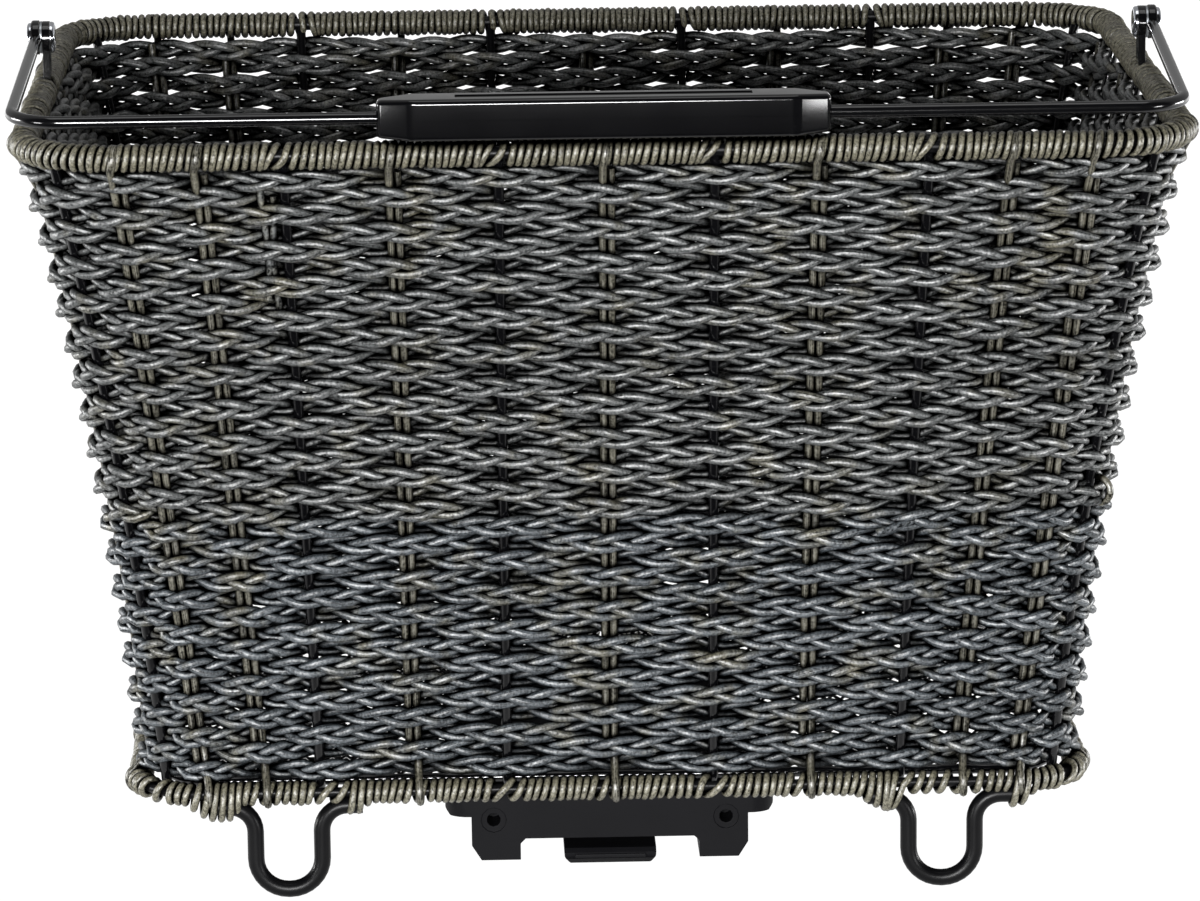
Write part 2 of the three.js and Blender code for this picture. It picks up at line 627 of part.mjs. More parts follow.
const flangeTop = crossZ - FRAME_WIRE / 2 - GAP;
const flangeBottom = flangeTop - FLANGE_THICKNESS;
const adapterMiddle = ADAPTER_LENGTH / 2 - ADAPTER_FRONT;
const halfSection = [
  [FLANGE_WIDTH / 2, flangeTop],
  [FLANGE_WIDTH / 2, flangeBottom + 2],
  [FLANGE_WIDTH / 2 - 2, flangeBottom],
  [BLOCK_WIDTH / 2, flangeBottom],
  [BLOCK_WIDTH / 2, RAIL_BOTTOM + RAIL_CHAMFER],
  [BLOCK_WIDTH / 2 - RAIL_CHAMFER * 0.63, RAIL_BOTTOM],
  [CHANNEL_WIDTH / 2, RAIL_BOTTOM],
  [CHANNEL_WIDTH / 2, CHANNEL_TOP - 2],
  [CHANNEL_WIDTH / 2 - 2, CHANNEL_TOP],
];
const adapterSection = shape([...halfSection, ...halfSection.map(([x, z]) => [-x, z]).reverse()]);
const adapterBar = extruded(adapterSection, ADAPTER_LENGTH);
adapterBar.rotateX(Math.PI / 2).translate(0, ADAPTER_LENGTH - ADAPTER_FRONT, 0);
const adapterPlan = plate(roundedRectangle(FLANGE_WIDTH, ADAPTER_LENGTH, 9), 0, flangeTop + 1);
adapterPlan.translate(0, adapterMiddle, 0);
const portZ = flangeBottom - PORT_RADIUS / 2;
const ports = [-1, 1].flatMap((sx) => {
  const face = at((sx * PORT_SPACING) / 2, -ADAPTER_FRONT, portZ);
  const inside = (y) => face.clone().setY(-ADAPTER_FRONT + y);
  return [rod(PORT_RADIUS, inside(-5), inside(14), 10), rod(PORT_RING, inside(-5), inside(0.6), 12)];
});

const pinY = LEVER_REACH - ADAPTER_FRONT;
const leverTop = RAIL_BOTTOM - 0.5 + LEVER_TAB;
const bossRadius = LEVER_PIN / 2 + 1.6;
const pinZ = CHANNEL_TOP - bossRadius - 2 * GAP;
const earInner = LEVER_WIDTH / 2 + GAP;
const earThickness = 3.6;
const ears = [-1, 1].map((sx) => {
  const xs = [sx * earInner, sx * (earInner + earThickness)].sort((p, q) => p - q);
  return block([xs[0], pinY - 5, RAIL_BOTTOM], [xs[1], pinY + 5, CHANNEL_TOP + 1]);
});
const pinReach = earInner + earThickness - 0.4;
const pinHole = rod(LEVER_PIN / 2 + GAP, at(-pinReach - 5, pinY, pinZ), at(pinReach + 5, pinY, pinZ), 10);
const springY = pinY - LEVER_REACH * 0.55;
const springTop = flangeBottom - 1.5;
const pocketRadius = SPRING_RADIUS + SPRING_WIRE + GAP;
const springPocket = rod(pocketRadius, at(0, springY, CHANNEL_TOP - 5), at(0, springY, springTop), 12);
const screwDepth = CHANNEL_TOP + 2.5;
const screwHoles = screwSpots.map((spot) => screwWay(spot, screwDepth, flangeTop + 5));
const adapterBlank = joined(common(adapterBar, adapterPlan), ...ears);
add("adapter_body", cut(adapterBlank, ...ports, pinHole, springPocket, ...screwHoles), plastic);

const clampZ = meshTop + GAP;
const clampBlank = plate(roundedRectangle(CLAMP_WIDTH, CLAMP_DEPTH, 12), clampZ, CLAMP_THICKNESS);
const clampScrewWays = screwSpots.map((spot) => screwWay(spot, clampZ - 5, clampZ + 10));
add("clamp_plate", cut(clampBlank, ...clampScrewWays), plastic);
screwSpots.forEach(([x, y], i) => {
  const seat = clampZ + CLAMP_THICKNESS + GAP;
  const tip = screwDepth + GAP;
  const profile = [[0, tip], [SCREW / 2, tip], [SCREW / 2, seat], [SCREW * 0.9, seat],
    [SCREW * 0.9, seat + 1.4], [SCREW * 0.6, seat + 2.6], [0, seat + 2.8]];
  const screw = new THREE.LatheGeometry(profile.map(([u, v]) => new THREE.Vector2(u, v)), 8);
  add("clamp_screw_" + (i + 1), screw.rotateX(Math.PI / 2).translate(x, y, 0), steel);
});

// Release lever: a tab under the front of the adapter that lifts against a spring

const plateLow = leverTop - 3.4;
const tabFront = -ADAPTER_FRONT - 3;
const leverOutline = new THREE.Shape();
leverOutline.moveTo(pinY, plateLow);
leverOutline.absarc(pinY, pinZ, bossRadius, -Math.PI / 2, Math.PI * 0.8);
leverOutline.lineTo(pinY - bossRadius - 2, leverTop);
leverOutline.lineTo(tabFront + 2, leverTop);
leverOutline.lineTo(tabFront, leverTop - 1.6);
leverOutline.lineTo(tabFront, leverTop - LEVER_TAB + 1);
leverOutline.lineTo(tabFront + 1, leverTop - LEVER_TAB);
leverOutline.lineTo(tabFront + 5, leverTop - LEVER_TAB);
leverOutline.lineTo(tabFront + 6, plateLow);
const leverHole = new THREE.Path().absarc(pinY, pinZ, LEVER_PIN / 2 + GAP, 0, 2 * Math.PI, true);
leverOutline.holes.push(leverHole);
const lever = extruded(leverOutline, LEVER_WIDTH, 5);
lever.applyMatrix4(new THREE.Matrix4().makeBasis(Y, Z, X)).translate(-LEVER_WIDTH / 2, 0, 0);
add("release_lever", lever, plastic);
add("lever_pin", rod(LEVER_PIN / 2, at(-pinReach, pinY, pinZ), at(pinReach, pinY, pinZ), 12), steel);

const curlSteps = 6;
const springLow = leverTop + GAP + SPRING_WIRE / 2;
const springRise = springTop - GAP - SPRING_WIRE / 2 - springLow;
const springPath = Array.from({ length: SPRING_CURLS * curlSteps + 1 }, (_, i) => {
  const turn = (2 * Math.PI * i) / curlSteps;
  const lift = springLow + (springRise * i) / (SPRING_CURLS * curlSteps);
  return at(SPRING_RADIUS * Math.cos(turn), springY + SPRING_RADIUS * Math.sin(turn), lift);
});
add("lever_spring", sweep(round(SPRING_WIRE / 2, 4), springPath, Z), steel);

export default basket;
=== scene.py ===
import math

import bpy
import numpy as np
from bpy.props import FloatProperty, FloatVectorProperty, IntProperty, PointerProperty
from mathutils import Euler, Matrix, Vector


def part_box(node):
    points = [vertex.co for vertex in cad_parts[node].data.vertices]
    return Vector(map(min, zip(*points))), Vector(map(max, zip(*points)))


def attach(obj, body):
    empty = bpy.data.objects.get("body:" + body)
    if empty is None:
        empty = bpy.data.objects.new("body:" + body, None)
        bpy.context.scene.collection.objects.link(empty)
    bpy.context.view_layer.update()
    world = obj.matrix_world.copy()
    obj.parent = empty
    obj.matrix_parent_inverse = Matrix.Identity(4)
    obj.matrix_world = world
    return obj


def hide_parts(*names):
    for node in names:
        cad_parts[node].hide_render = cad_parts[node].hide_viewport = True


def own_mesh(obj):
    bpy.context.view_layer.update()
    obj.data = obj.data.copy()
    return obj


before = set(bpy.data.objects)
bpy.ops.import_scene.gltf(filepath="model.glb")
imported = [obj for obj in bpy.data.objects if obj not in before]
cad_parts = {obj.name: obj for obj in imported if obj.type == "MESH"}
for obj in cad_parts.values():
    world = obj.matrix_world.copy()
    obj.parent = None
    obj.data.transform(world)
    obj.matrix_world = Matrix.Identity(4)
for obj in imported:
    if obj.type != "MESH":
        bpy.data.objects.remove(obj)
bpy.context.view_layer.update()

bl_info = {
    "name": "Woven Bicycle Basket",
    "version": (1, 0, 0),
    "blender": (4, 5, 0),
    "location": "View3D > Sidebar > Basket",
    "description": "Dresses the packed frame of a woven rack basket",
    "category": "Object",
}

MM = 0.001
STAGE_IMAGE = (1200, 901)


def srgb(value):
    """A hex colour as linear red, green, blue and alpha."""
    parts = [(value >> shift & 255) / 255 for shift in (16, 8, 0)]
    return [p / 12.92 if p <= 0.04045 else ((p + 0.055) / 1.055) ** 2.4 for p in parts] + [1.0]


def distance(name, description, millimetres):
    return FloatProperty(name=name, description=description, default=millimetres * MM, subtype="DISTANCE")


def tint(name, description, value):
    return FloatVectorProperty(name=name, description=description, default=srgb(value), size=4,
                               subtype="COLOR")


# Sizes and colours that a user would change

class BasketSizes(bpy.types.PropertyGroup):
    """Sizes of the strands, wires and rims."""
    strand: distance("Strand", "Diameter of one plastic strand", 3.0)
    upright: distance("Upright", "Diameter of the bare frame wires", 4.0)
    top_wire: distance("Top rim wire", "Diameter of the wire in the top rim", 5.0)
    bottom_wire: distance("Bottom rim wire", "Diameter of the wire in the bottom rim", 4.0)
    foot_wire: distance("Foot wire", "Diameter of the standing loops", 6.5)
    bail_rod: distance("Handle rod", "Diameter of the carry handle's rod", 5.0)
    rows: IntProperty(name="Rows", description="Plaited rows in the wall", default=35)
    mirrored_rows: IntProperty(name="Upper rows", description="Rows plaited the other way round", default=20)
    plait_strand: distance("Plait strand", "Diameter of one strand of the rows", 3.5)
    plait_height: distance("Plait height", "Height of a row where it crosses a stake", 8.95)
    plait_depth: distance("Plait depth", "Swing of one strand in front of and behind the others", 1.45)
    sway: distance("Weave depth", "Swing of a row in front of and behind the stakes", 3.2)


class BasketColours(bpy.types.PropertyGroup):
    """Colours of the strands, metal and plastic."""
    olive: tint("Olive strand", "Rims and stakes", 0x4E4B3D)
    grey: tint("Grey strand", "Upper rows", 0x363838)
    blue: tint("Blue grey strand", "Lower rows", 0x33383C)
    lacquer: tint("Black lacquer", "Handle, feet and frame wires", 0x050506)
    moulding: tint("Black plastic", "Grip and adapter", 0x0B0B0D)


# Outline of the two rims and of the wall between them

TOP = {"a": 219.5 * MM, "b": 159.5 * MM, "r": 36 * MM, "z": 299 * MM}
BOTTOM = {"a": 183.5 * MM, "b": 123.5 * MM, "r": 26 * MM, "z": 42 * MM}
FIRST_ROW = 289.8 * MM
LAST_ROW = 51.0 * MM
LONG_TOP = [0, 40.5 * MM, 80 * MM, 121 * MM, 152.5 * MM, 183.5 * MM]
LONG_BOTTOM = [0, 40 * MM, 76 * MM, 112.5 * MM, 135 * MM, 157.5 * MM]
LONG_KINDS = "DBDBDD"
SHORT_SHARES = [-1, -2 / 3, -1 / 3, 0, 1 / 3, 2 / 3, 1]
SHORT_KINDS = "DBDBDBD"

# Stakes by number, from the middle of the front wall to the right and round
HOOP_STAKES = ((37, 23), (39, 21), (1, 19), (3, 17))
CROSS_STAKES = ((8, 32), (10, 30), (12, 28))
CORNER_STAKES = ((6, "front_right"), (14, "rear_right"), (26, "rear_left"), (34, "front_left"))
LUG_STAKES = (10, 30)

# Places of the standing loops and of the handle's pivots
FOOT_X = 127 * MM
FRONT_FOOT_SHIFT = 1.7 * MM
PIVOT_Z = 320 * MM

# Camera, solved from the photograph
FOCAL_PIXELS = 5938
SENSOR_WIDTH = 36.0
CAMERA_PLACE = (-0.0579, -2.3412, 0.6861)
CAMERA_TILT, CAMERA_PAN, CAMERA_ROLL = (math.radians(v) for v in (90 - 12.942, -1.422, -0.606))


def height_share(z):
    return (z - BOTTOM["z"]) / (TOP["z"] - BOTTOM["z"])


def rim_at(z, inset=0.0):
    """The rim outline at a height, between the two rim wires, set in by a distance."""
    t = height_share(z)
    sizes = {key: BOTTOM[key] + (TOP[key] - BOTTOM[key]) * t for key in "abr"}
    return {key: value - inset for key, value in sizes.items()} | {"z": z}


def wall_inset(z):
    """How far the middle of the woven wall stands inside the line between the rim wires."""
    t = height_share(z)
    return (5.0 + 17.0 * t - 20.0 * t * t) * MM


def rim_lengths(rim):
    long, short, bend = rim["a"] - rim["r"], rim["b"] - rim["r"], math.pi * rim["r"] / 2
    return np.array([long, bend, 2 * short, bend, 2 * long, bend, 2 * short, bend, long])


def along_rim(rim, s):
    """Points and outward directions on a rim, at distances from the middle of the front wall to the right."""
    lengths = rim_lengths(rim)
    ends = np.cumsum(lengths)
    s = np.mod(np.asarray(s, float), ends[-1])
    a, b, r = rim["a"], rim["b"], rim["r"]
    part = np.searchsorted(ends, s, side="right").clip(0, 8)
    at = s - (ends - lengths)[part]
    starts = [(0, -b), None, (a, r - b), None, (a - r, b), None, (-a, b - r), None, (r - a, -b)]
    ways = [(1, 0), None, (0, 1), None, (-1, 0), None, (0, -1), None, (1, 0)]
    outs = [(0, -1), None, (1, 0), None, (0, 1), None, (-1, 0), None, (0, -1)]
    centres = [None, (a - r, r - b), None, (a - r, b - r), None, (r - a, b - r), None, (r - a, r - b), None]
    points, normals = np.zeros((len(s), 2)), np.zeros((len(s), 2))
    for i in range(9):
        here = part == i
        if centres[i] is None:
            points[here] = np.array(starts[i]) + at[here, None] * np.array(ways[i])
            normals[here] = outs[i]
        else:
            turn = -math.pi / 2 + (i // 2) * math.pi / 2 + at[here] / r
            normals[here] = np.stack([np.cos(turn), np.sin(turn)], 1)
            points[here] = np.array(centres[i]) + r * normals[here]
    return points, normals


def stake_list():
    """Kind and place of each stake, from the middle of the front wall to the right and round."""
    stakes = [("long", 1, i, LONG_KINDS[i]) for i in range(6)]
    stakes += [("corner", 0, None, "B")] + [("short", 0, v, k) for v, k in zip(SHORT_SHARES, SHORT_KINDS)]
    stakes += [("corner", 1, None, "B")] + [("rear", 1, i, LONG_KINDS[i]) for i in range(5, -1, -1)]
    stakes += [("rear", -1, i, LONG_KINDS[i]) for i in range(1, 6)]
    stakes += [("corner", 2, None, "B")] + [("short", 1, v, k) for v, k in zip(SHORT_SHARES, SHORT_KINDS)]
    stakes += [("corner", 3, None, "B")] + [("long", -1, i, LONG_KINDS[i]) for i in range(5, 0, -1)]
    return stakes


STAKES = stake_list()


def plait_turns():
    """Turns of the plait up to each stake: five leaves in two wide bays, four in two narrow ones."""
    bays = []
    for (where, _, index, _), (after, _, following, _) in zip(STAKES, STAKES[1:] + STAKES[:1]):
        if "corner" in (where, after):
            bays.append(7 / 12)
        else:
            bays.append(4 / 6 if where != "short" and max(index, following) > 3 else 5 / 6)
    return np.r_[0, np.cumsum(bays)]


PLAIT_TURNS = plait_turns()


def stake_distances(rim):
    """Distance along a rim of each stake."""
    t = height_share(rim["z"])
    lengths = rim_lengths(rim)
    ends = np.cumsum(lengths)
    places = []
    for where, side, index, _ in STAKES:
        if where == "corner":
            places.append(ends[2 * side] + lengths[1] / 2)
        elif where == "short":
            places.append((ends[1] if side == 0 else ends[5]) + (rim["b"] - rim["r"]) * (1 + index))
        else:
            x = LONG_BOTTOM[index] + (LONG_TOP[index] - LONG_BOTTOM[index]) * t
            if where == "rear":
                places.append(ends[3] + (rim["a"] - rim["r"]) - side * x)
            else:
                places.append(x if side > 0 else ends[-1] - x)
    return np.array(places)


def stake_place(number, z):
    """Point on the line between the rim wires, outward and sideways directions at a stake."""
    rim = rim_at(z)
    point, normal = along_rim(rim, [stake_distances(rim)[number]])
    side = np.array([-normal[0, 1], normal[0, 0], 0])
    return np.array([*point[0], z]), np.array([*normal[0], 0]), side


# Modelling helpers

def mode(name):
    bpy.ops.object.mode_set(mode=name)


def deselect():
    if bpy.context.mode != "OBJECT":
        mode("OBJECT")
    bpy.ops.object.select_all(action="DESELECT")


def activate(piece):
    deselect()
    piece.select_set(True)
    bpy.context.view_layer.objects.active = piece


def settle(piece, body, nodes, finish):
    """Gives a finished piece its material, the body that it rides on and the CAD nodes that it stands for."""
    piece.data.materials.clear()
    piece.data.materials.append(finishes()[finish])
    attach(piece, body)
    if nodes:
        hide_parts(*nodes)


def tubes(name, paths, diameter, sides=8, closed=False):
    """One mesh of round strands along paths of points.

    Its map holds the turn round the strand, and the length along it in millimetres."""
    curve = bpy.data.curves.new(name, "CURVE")
    curve.dimensions = "3D"
    curve.bevel_depth = diameter / 2
    curve.bevel_resolution = (sides - 4) // 2
    curve.use_fill_caps = not closed
    lengths = []
    for path in paths:
        path = np.asarray(path, float)
        spline = curve.splines.new("POLY")
        spline.points.add(len(path) - 1)
        spline.points.foreach_set("co", np.c_[path, np.ones(len(path))].ravel())
        spline.use_cyclic_u = closed
        lengths.append(np.linalg.norm(np.diff(path, axis=0), axis=1).sum())
    piece = bpy.data.objects.new(name, curve)
    bpy.context.scene.collection.objects.link(piece)
    activate(piece)
    bpy.ops.object.convert(target="MESH")
    piece = bpy.context.view_layer.objects.active
    uv = piece.data.uv_layers[0].data
    values = np.zeros(len(uv) * 2)
    uv.foreach_get("uv", values)
    values[1::2] *= np.mean(lengths) / MM
    uv.foreach_set("uv", values)
    bpy.ops.object.shade_smooth_by_angle(angle=math.radians(50))
    return piece


def rounded(corners, radius, steps=8):
    """A polyline whose corners are bent to a radius."""
    corners = [np.asarray(c, float) for c in corners]
    path = [corners[0]]
    for before, here, after in zip(corners, corners[1:], corners[2:]):
        into = (here - before) / np.linalg.norm(here - before)
        out = (after - here) / np.linalg.norm(after - here)
        turn = math.acos(np.clip(into @ out, -1, 1))
        inward = out - into * math.cos(turn)
        inward /= np.linalg.norm(inward)
        start = here - into * radius * math.tan(turn / 2)
        for k in range(steps + 1):
            angle = turn * k / steps
            path.append(start + into * radius * math.sin(angle) + inward * radius * (1 - math.cos(angle)))
    return path + [corners[-1]]


def flat_faces(piece):
    """Smooth edges whose shading leaves the flat faces beside them flat."""
    bpy.ops.object.shade_smooth_by_angle(angle=math.radians(35))
    even = piece.modifiers.new("Flat faces", "WEIGHTED_NORMAL")
    even.keep_sharp = True
    bpy.ops.object.modifier_apply(modifier=even.name)


def bevel_edges(piece, wanted, **bevel):
    """Bevels the edges whose two ends are both wanted."""
    mode("EDIT")
    bpy.ops.mesh.select_mode(type="EDGE")
    bpy.ops.mesh.select_all(action="DESELECT")
    mode("OBJECT")
    for edge in piece.data.edges:
        edge.select = all(wanted(piece.data.vertices[v].co) for v in edge.vertices)
    mode("EDIT")
    bpy.ops.mesh.bevel(**bevel)
    mode("OBJECT")


def eased_copy(name, node, width, low_corner=0.0):
    """A CAD node's shape as one joined skin with softened edges, and lower corners rounded to a radius."""
    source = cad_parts[node]
    piece = bpy.data.objects.new(name, source.data.copy())
    bpy.context.scene.collection.objects.link(piece)
    activate(piece)
    mode("EDIT")
    bpy.ops.mesh.select_all(action="SELECT")
    bpy.ops.mesh.remove_doubles(threshold=0.01 * MM)
    bpy.ops.mesh.dissolve_limited(angle_limit=math.radians(1))
    mode("OBJECT")
    if low_corner:
        low, reach = min(v.co.z for v in piece.data.vertices), max(v.co.x for v in piece.data.vertices)
        bevel_edges(piece, lambda c: abs(c.x) > reach - 0.1 * MM and c.z < low + 1.2 * MM,
                    offset=low_corner, segments=5)
    ease = piece.modifiers.new("Eased edges", "BEVEL")
    ease.width, ease.segments, ease.limit_method = width, 2, "ANGLE"
    ease.angle_limit = math.radians(32)
    bpy.ops.object.modifier_apply(modifier=ease.name)
    flat_faces(piece)
    return piece


def turned(name, centre, axis, radius, height, dome):
    """A round head or washer with its foot at a centre: a cylinder whose outer edge is bevelled to a dome."""
    deselect()
    axis = Vector(axis)
    bpy.ops.mesh.primitive_cylinder_add(vertices=40, radius=radius, depth=height)
    piece = bpy.context.active_object
    piece.name = piece.data.name = name
    bevel_edges(piece, lambda c: c.z > 0, offset=dome, segments=6, profile=0.55)
    piece.rotation_euler = axis.to_track_quat("Z", "Y").to_euler()
    piece.location = Vector(centre) + axis * height / 2
    bpy.ops.object.transform_apply(location=True, rotation=True, scale=True)
    bpy.ops.object.shade_smooth_by_angle(angle=math.radians(35))
    return piece


# Finishes

def node(tree, kind, inputs=None, **settings):
    """Adds a shader node, sets its values and links what is given: a socket, or a node's first output."""
    made = tree.nodes.new("ShaderNode" + kind)
    for key, value in settings.items():
        setattr(made, key, value)
    for key, value in (inputs or {}).items():
        value = value.outputs[0] if isinstance(value, bpy.types.Node) else value
        if isinstance(value, bpy.types.NodeSocket):
            tree.links.new(value, made.inputs[key])
        else:
            made.inputs[key].default_value = value
    return made


def blank(name):
    """A new material with an empty node tree, and its shader."""
    material = bpy.data.materials.new(name)
    material.use_nodes = True
    tree = material.node_tree
    tree.nodes.clear()
    shader = node(tree, "BsdfPrincipled")
    node(tree, "OutputMaterial", {"Surface": shader})
    return material, tree, shader


def shade(colour, factor):
    return [c * factor for c in colour[:3]] + [1.0]


def extruded_strand(name, tone, patch, low_tone=None, crevice=0.45):
    """Extruded polyethylene strand made to look like rattan: satin, with scored streaks along its length.

    The streaks are 1 mm wide and some 12 mm long, patches of the second tone are 20 mm long, specks are 1 mm
    wide, and painted shade darkens the colour and the specular level in the 14 mm next to other strands,
    darkest within 2.4 mm. A higher crevice value widens the painted dark line between strands. Each strand is
    a little lighter or darker."""
    material, tree, shader = blank(name)
    island = node(tree, "NewGeometry").outputs["Random Per Island"]
    place = node(tree, "TexCoord")
    colour = tone
    if low_tone:
        apart = node(tree, "SeparateXYZ", {"Vector": place.outputs["Object"]})
        low = node(tree, "MapRange", {"Value": apart.outputs["Z"], "From Min": 0.150, "From Max": 0.156,
                                      "To Min": 1.0, "To Max": 0.0})
        colour = node(tree, "Mix", {"Factor": low, "A": tone, "B": low_tone},
                      data_type="RGBA").outputs["Result"]
    drift = node(tree, "TexNoise", {"Vector": place.outputs["Object"], "Scale": 50.0, "Detail": 3.0,
                                    "Roughness": 0.7})
    spread = node(tree, "MapRange", {"Value": drift.outputs["Fac"], "From Min": 0.52, "From Max": 0.72})
    colour = node(tree, "Mix", {"Factor": spread, "A": colour, "B": patch},
                  data_type="RGBA").outputs["Result"]
    around = node(tree, "Mapping", {"Vector": place.outputs["UV"], "Scale": (10.0, 0.085, 1.0)})
    shift = node(tree, "CombineXYZ", {"Z": island})
    shifted = node(tree, "VectorMath", {0: around, 1: shift}, operation="ADD")
    streak = node(tree, "TexNoise", {"Vector": shifted, "Scale": 1.0, "Detail": 4.0, "Roughness": 0.65})
    speck = node(tree, "TexNoise", {"Vector": place.outputs["Object"], "Scale": 1000.0, "Detail": 2.0})
    wear = node(tree, "Math", {0: speck.outputs["Fac"], 1: 0.5, 2: streak.outputs["Fac"]},
                operation="MULTIPLY_ADD")
    level = node(tree, "MapRange", {"Value": wear, "From Min": 0.62, "From Max": 0.88, "To Min": 0.1,
                                    "To Max": 2.0})
    own = node(tree, "MapRange", {"Value": island, "To Min": 0.82, "To Max": 1.14})
    level = node(tree, "Math", {0: level, 1: own}, operation="MULTIPLY")
    # Painted shade: ambient occlusion darkens the colour and the specular level near other strands, broadly
    # within 14 mm and sharply within 2.4 mm
    painted_shade = node(tree, "AmbientOcclusion", {"Distance": 14 * MM}, samples=8)
    unshaded_share = node(tree, "MapRange", {"Value": painted_shade.outputs["AO"], "From Min": 0.27, "From Max": 0.76,
                                    "To Min": 0.02, "To Max": 1.0})
    unshaded_share = node(tree, "Math", {0: unshaded_share, 1: 1.6}, operation="POWER")
    contact_shade = node(tree, "AmbientOcclusion", {"Distance": 2.4 * MM}, samples=8)
    line = node(tree, "MapRange", {"Value": contact_shade.outputs["AO"], "From Min": crevice, "From Max": 0.92,
                                   "To Min": 0.05, "To Max": 1.0})
    unshaded_share = node(tree, "Math", {0: unshaded_share, 1: line}, operation="MULTIPLY")
    level = node(tree, "Math", {0: level, 1: unshaded_share}, operation="MULTIPLY")
    # The colour carries the streaks and specks of wear and the painted shade
    worn_and_shaded = node(tree, "VectorMath", {0: colour, 1: level}, operation="MULTIPLY")
    tree.links.new(worn_and_shaded.outputs[0], shader.inputs["Base Color"])
    rough = node(tree, "MapRange", {"Value": wear, "From Min": 0.58, "From Max": 0.92, "To Min": 0.35,
                                    "To Max": 0.48})
    tree.links.new(rough.outputs[0], shader.inputs["Roughness"])
    bump = node(tree, "Bump", {"Height": streak.outputs["Fac"], "Strength": 0.25, "Distance": 0.25 * MM})
    tree.links.new(bump.outputs[0], shader.inputs["Normal"])
    # The same painted shade dims the specular level
    tree.links.new(level.outputs[0], shader.inputs["Specular IOR Level"])
    return material


def mottle(tree, shader, value, colour, tones, roughness, spread):
    """Varies a shader's colour and roughness with a noise value, between two shares of each."""
    tone = node(tree, "Mix", {"Factor": value, "A": shade(colour, tones[0]), "B": shade(colour, tones[1])},
                data_type="RGBA")
    tree.links.new(tone.outputs["Result"], shader.inputs["Base Color"])
    rough = node(tree, "MapRange", {"Value": value, "To Min": roughness * spread[0],
                                    "To Max": roughness * spread[1]})
    tree.links.new(rough.outputs[0], shader.inputs["Roughness"])


def lacquered_steel(name, colour, roughness, shine):
    """Black coat on steel wire: glossy enamel or satin powder, with a very slight orange peel of 3 mm."""
    material, tree, shader = blank(name)
    place = node(tree, "TexCoord")
    peel = node(tree, "TexNoise", {"Vector": place.outputs["Object"], "Scale": 330.0, "Detail": 2.0})
    dust = node(tree, "TexNoise", {"Vector": place.outputs["Object"], "Scale": 40.0, "Detail": 5.0})
    mottle(tree, shader, dust.outputs["Fac"], colour, (0.7, 1.5), roughness, (0.75, 1.3))
    bump = node(tree, "Bump", {"Height": peel.outputs["Fac"], "Strength": 0.05, "Distance": 0.05 * MM})
    tree.links.new(bump.outputs[0], shader.inputs["Normal"])
    shader.inputs["Specular IOR Level"].default_value = shine
    return material


def moulded_plastic(name, colour, roughness, grain, relief, shine):
    """Injection-moulded black plastic: satin, with a fine even grain from the mould.

    The width of the grain and its relief are given in millimetres."""
    material, tree, shader = blank(name)
    place = node(tree, "TexCoord")
    spark = node(tree, "TexNoise", {"Vector": place.outputs["Object"], "Scale": 1000.0 / grain,
                                    "Detail": 2.0})
    cloud = node(tree, "TexNoise", {"Vector": place.outputs["Object"], "Scale": 55.0, "Detail": 4.0})
    mottle(tree, shader, cloud.outputs["Fac"], colour, (0.8, 1.3), roughness, (0.85, 1.15))
    bump = node(tree, "Bump", {"Height": spark.outputs["Fac"], "Strength": 0.25, "Distance": relief * MM})
    tree.links.new(bump.outputs[0], shader.inputs["Normal"])
    shader.inputs["Specular IOR Level"].default_value = shine
    return material


def plated_metal(name, colour, roughness):
    """Plated steel: chromium or zinc, with faint wiping marks 0.8 mm wide."""
    material, tree, shader = blank(name)
    place = node(tree, "TexCoord")
    marks = node(tree, "Mapping", {"Vector": place.outputs["Object"], "Scale": (200.0, 1200.0, 300.0)})
    wipe = node(tree, "TexNoise", {"Vector": marks, "Scale": 1.0, "Detail": 4.0})
    mottle(tree, shader, wipe.outputs["Fac"], colour, (0.8, 1.1), roughness, (0.6, 1.5))
    shader.inputs["Metallic"].default_value = 1.0
    return material


FINISHES = {}


def finishes():
    """The basket's materials, made once."""
    if FINISHES:
        return FINISHES
    c = bpy.context.scene.basket_colours
    olive, grey, blue = list(c.olive), list(c.grey), list(c.blue)
    FINISHES.update(
        weave=extruded_strand("Extruded polyethylene strand, grey", grey, shade(olive, 0.75), blue),
        # The olive rim strands get a wider painted dark line of shade between their turns
        olive=extruded_strand("Extruded polyethylene strand, olive", shade(olive, 1.08), shade(olive, 0.75),
                              crevice=0.6),
        stake=extruded_strand("Extruded polyethylene strand, dark olive", shade(olive, 0.6),
                              shade(olive, 0.3)),
        gloss=lacquered_steel("Stove enamel on steel rod", list(c.lacquer), 0.12, 0.5),
        wire=lacquered_steel("Stove enamel on frame wire", list(c.lacquer), 0.08, 0.5),
        powder=lacquered_steel("Powder coat on steel wire", list(c.lacquer), 0.34, 0.14),
        grip=moulded_plastic("Moulded ABS grip", shade(c.moulding, 0.45), 0.1, 0.7, 0.006, 0.4),
        nylon=moulded_plastic("Moulded glass-filled nylon", list(c.moulding), 0.5, 0.9, 0.08, 0.06),
        chrome=plated_metal("Bright chromium plate", srgb(0xC9CCD2), 0.12),
        zinc=plated_metal("Zinc plate on steel", srgb(0xA5A9AD), 0.34),
    )
    return FINISHES


# Operators, one for each group of pieces

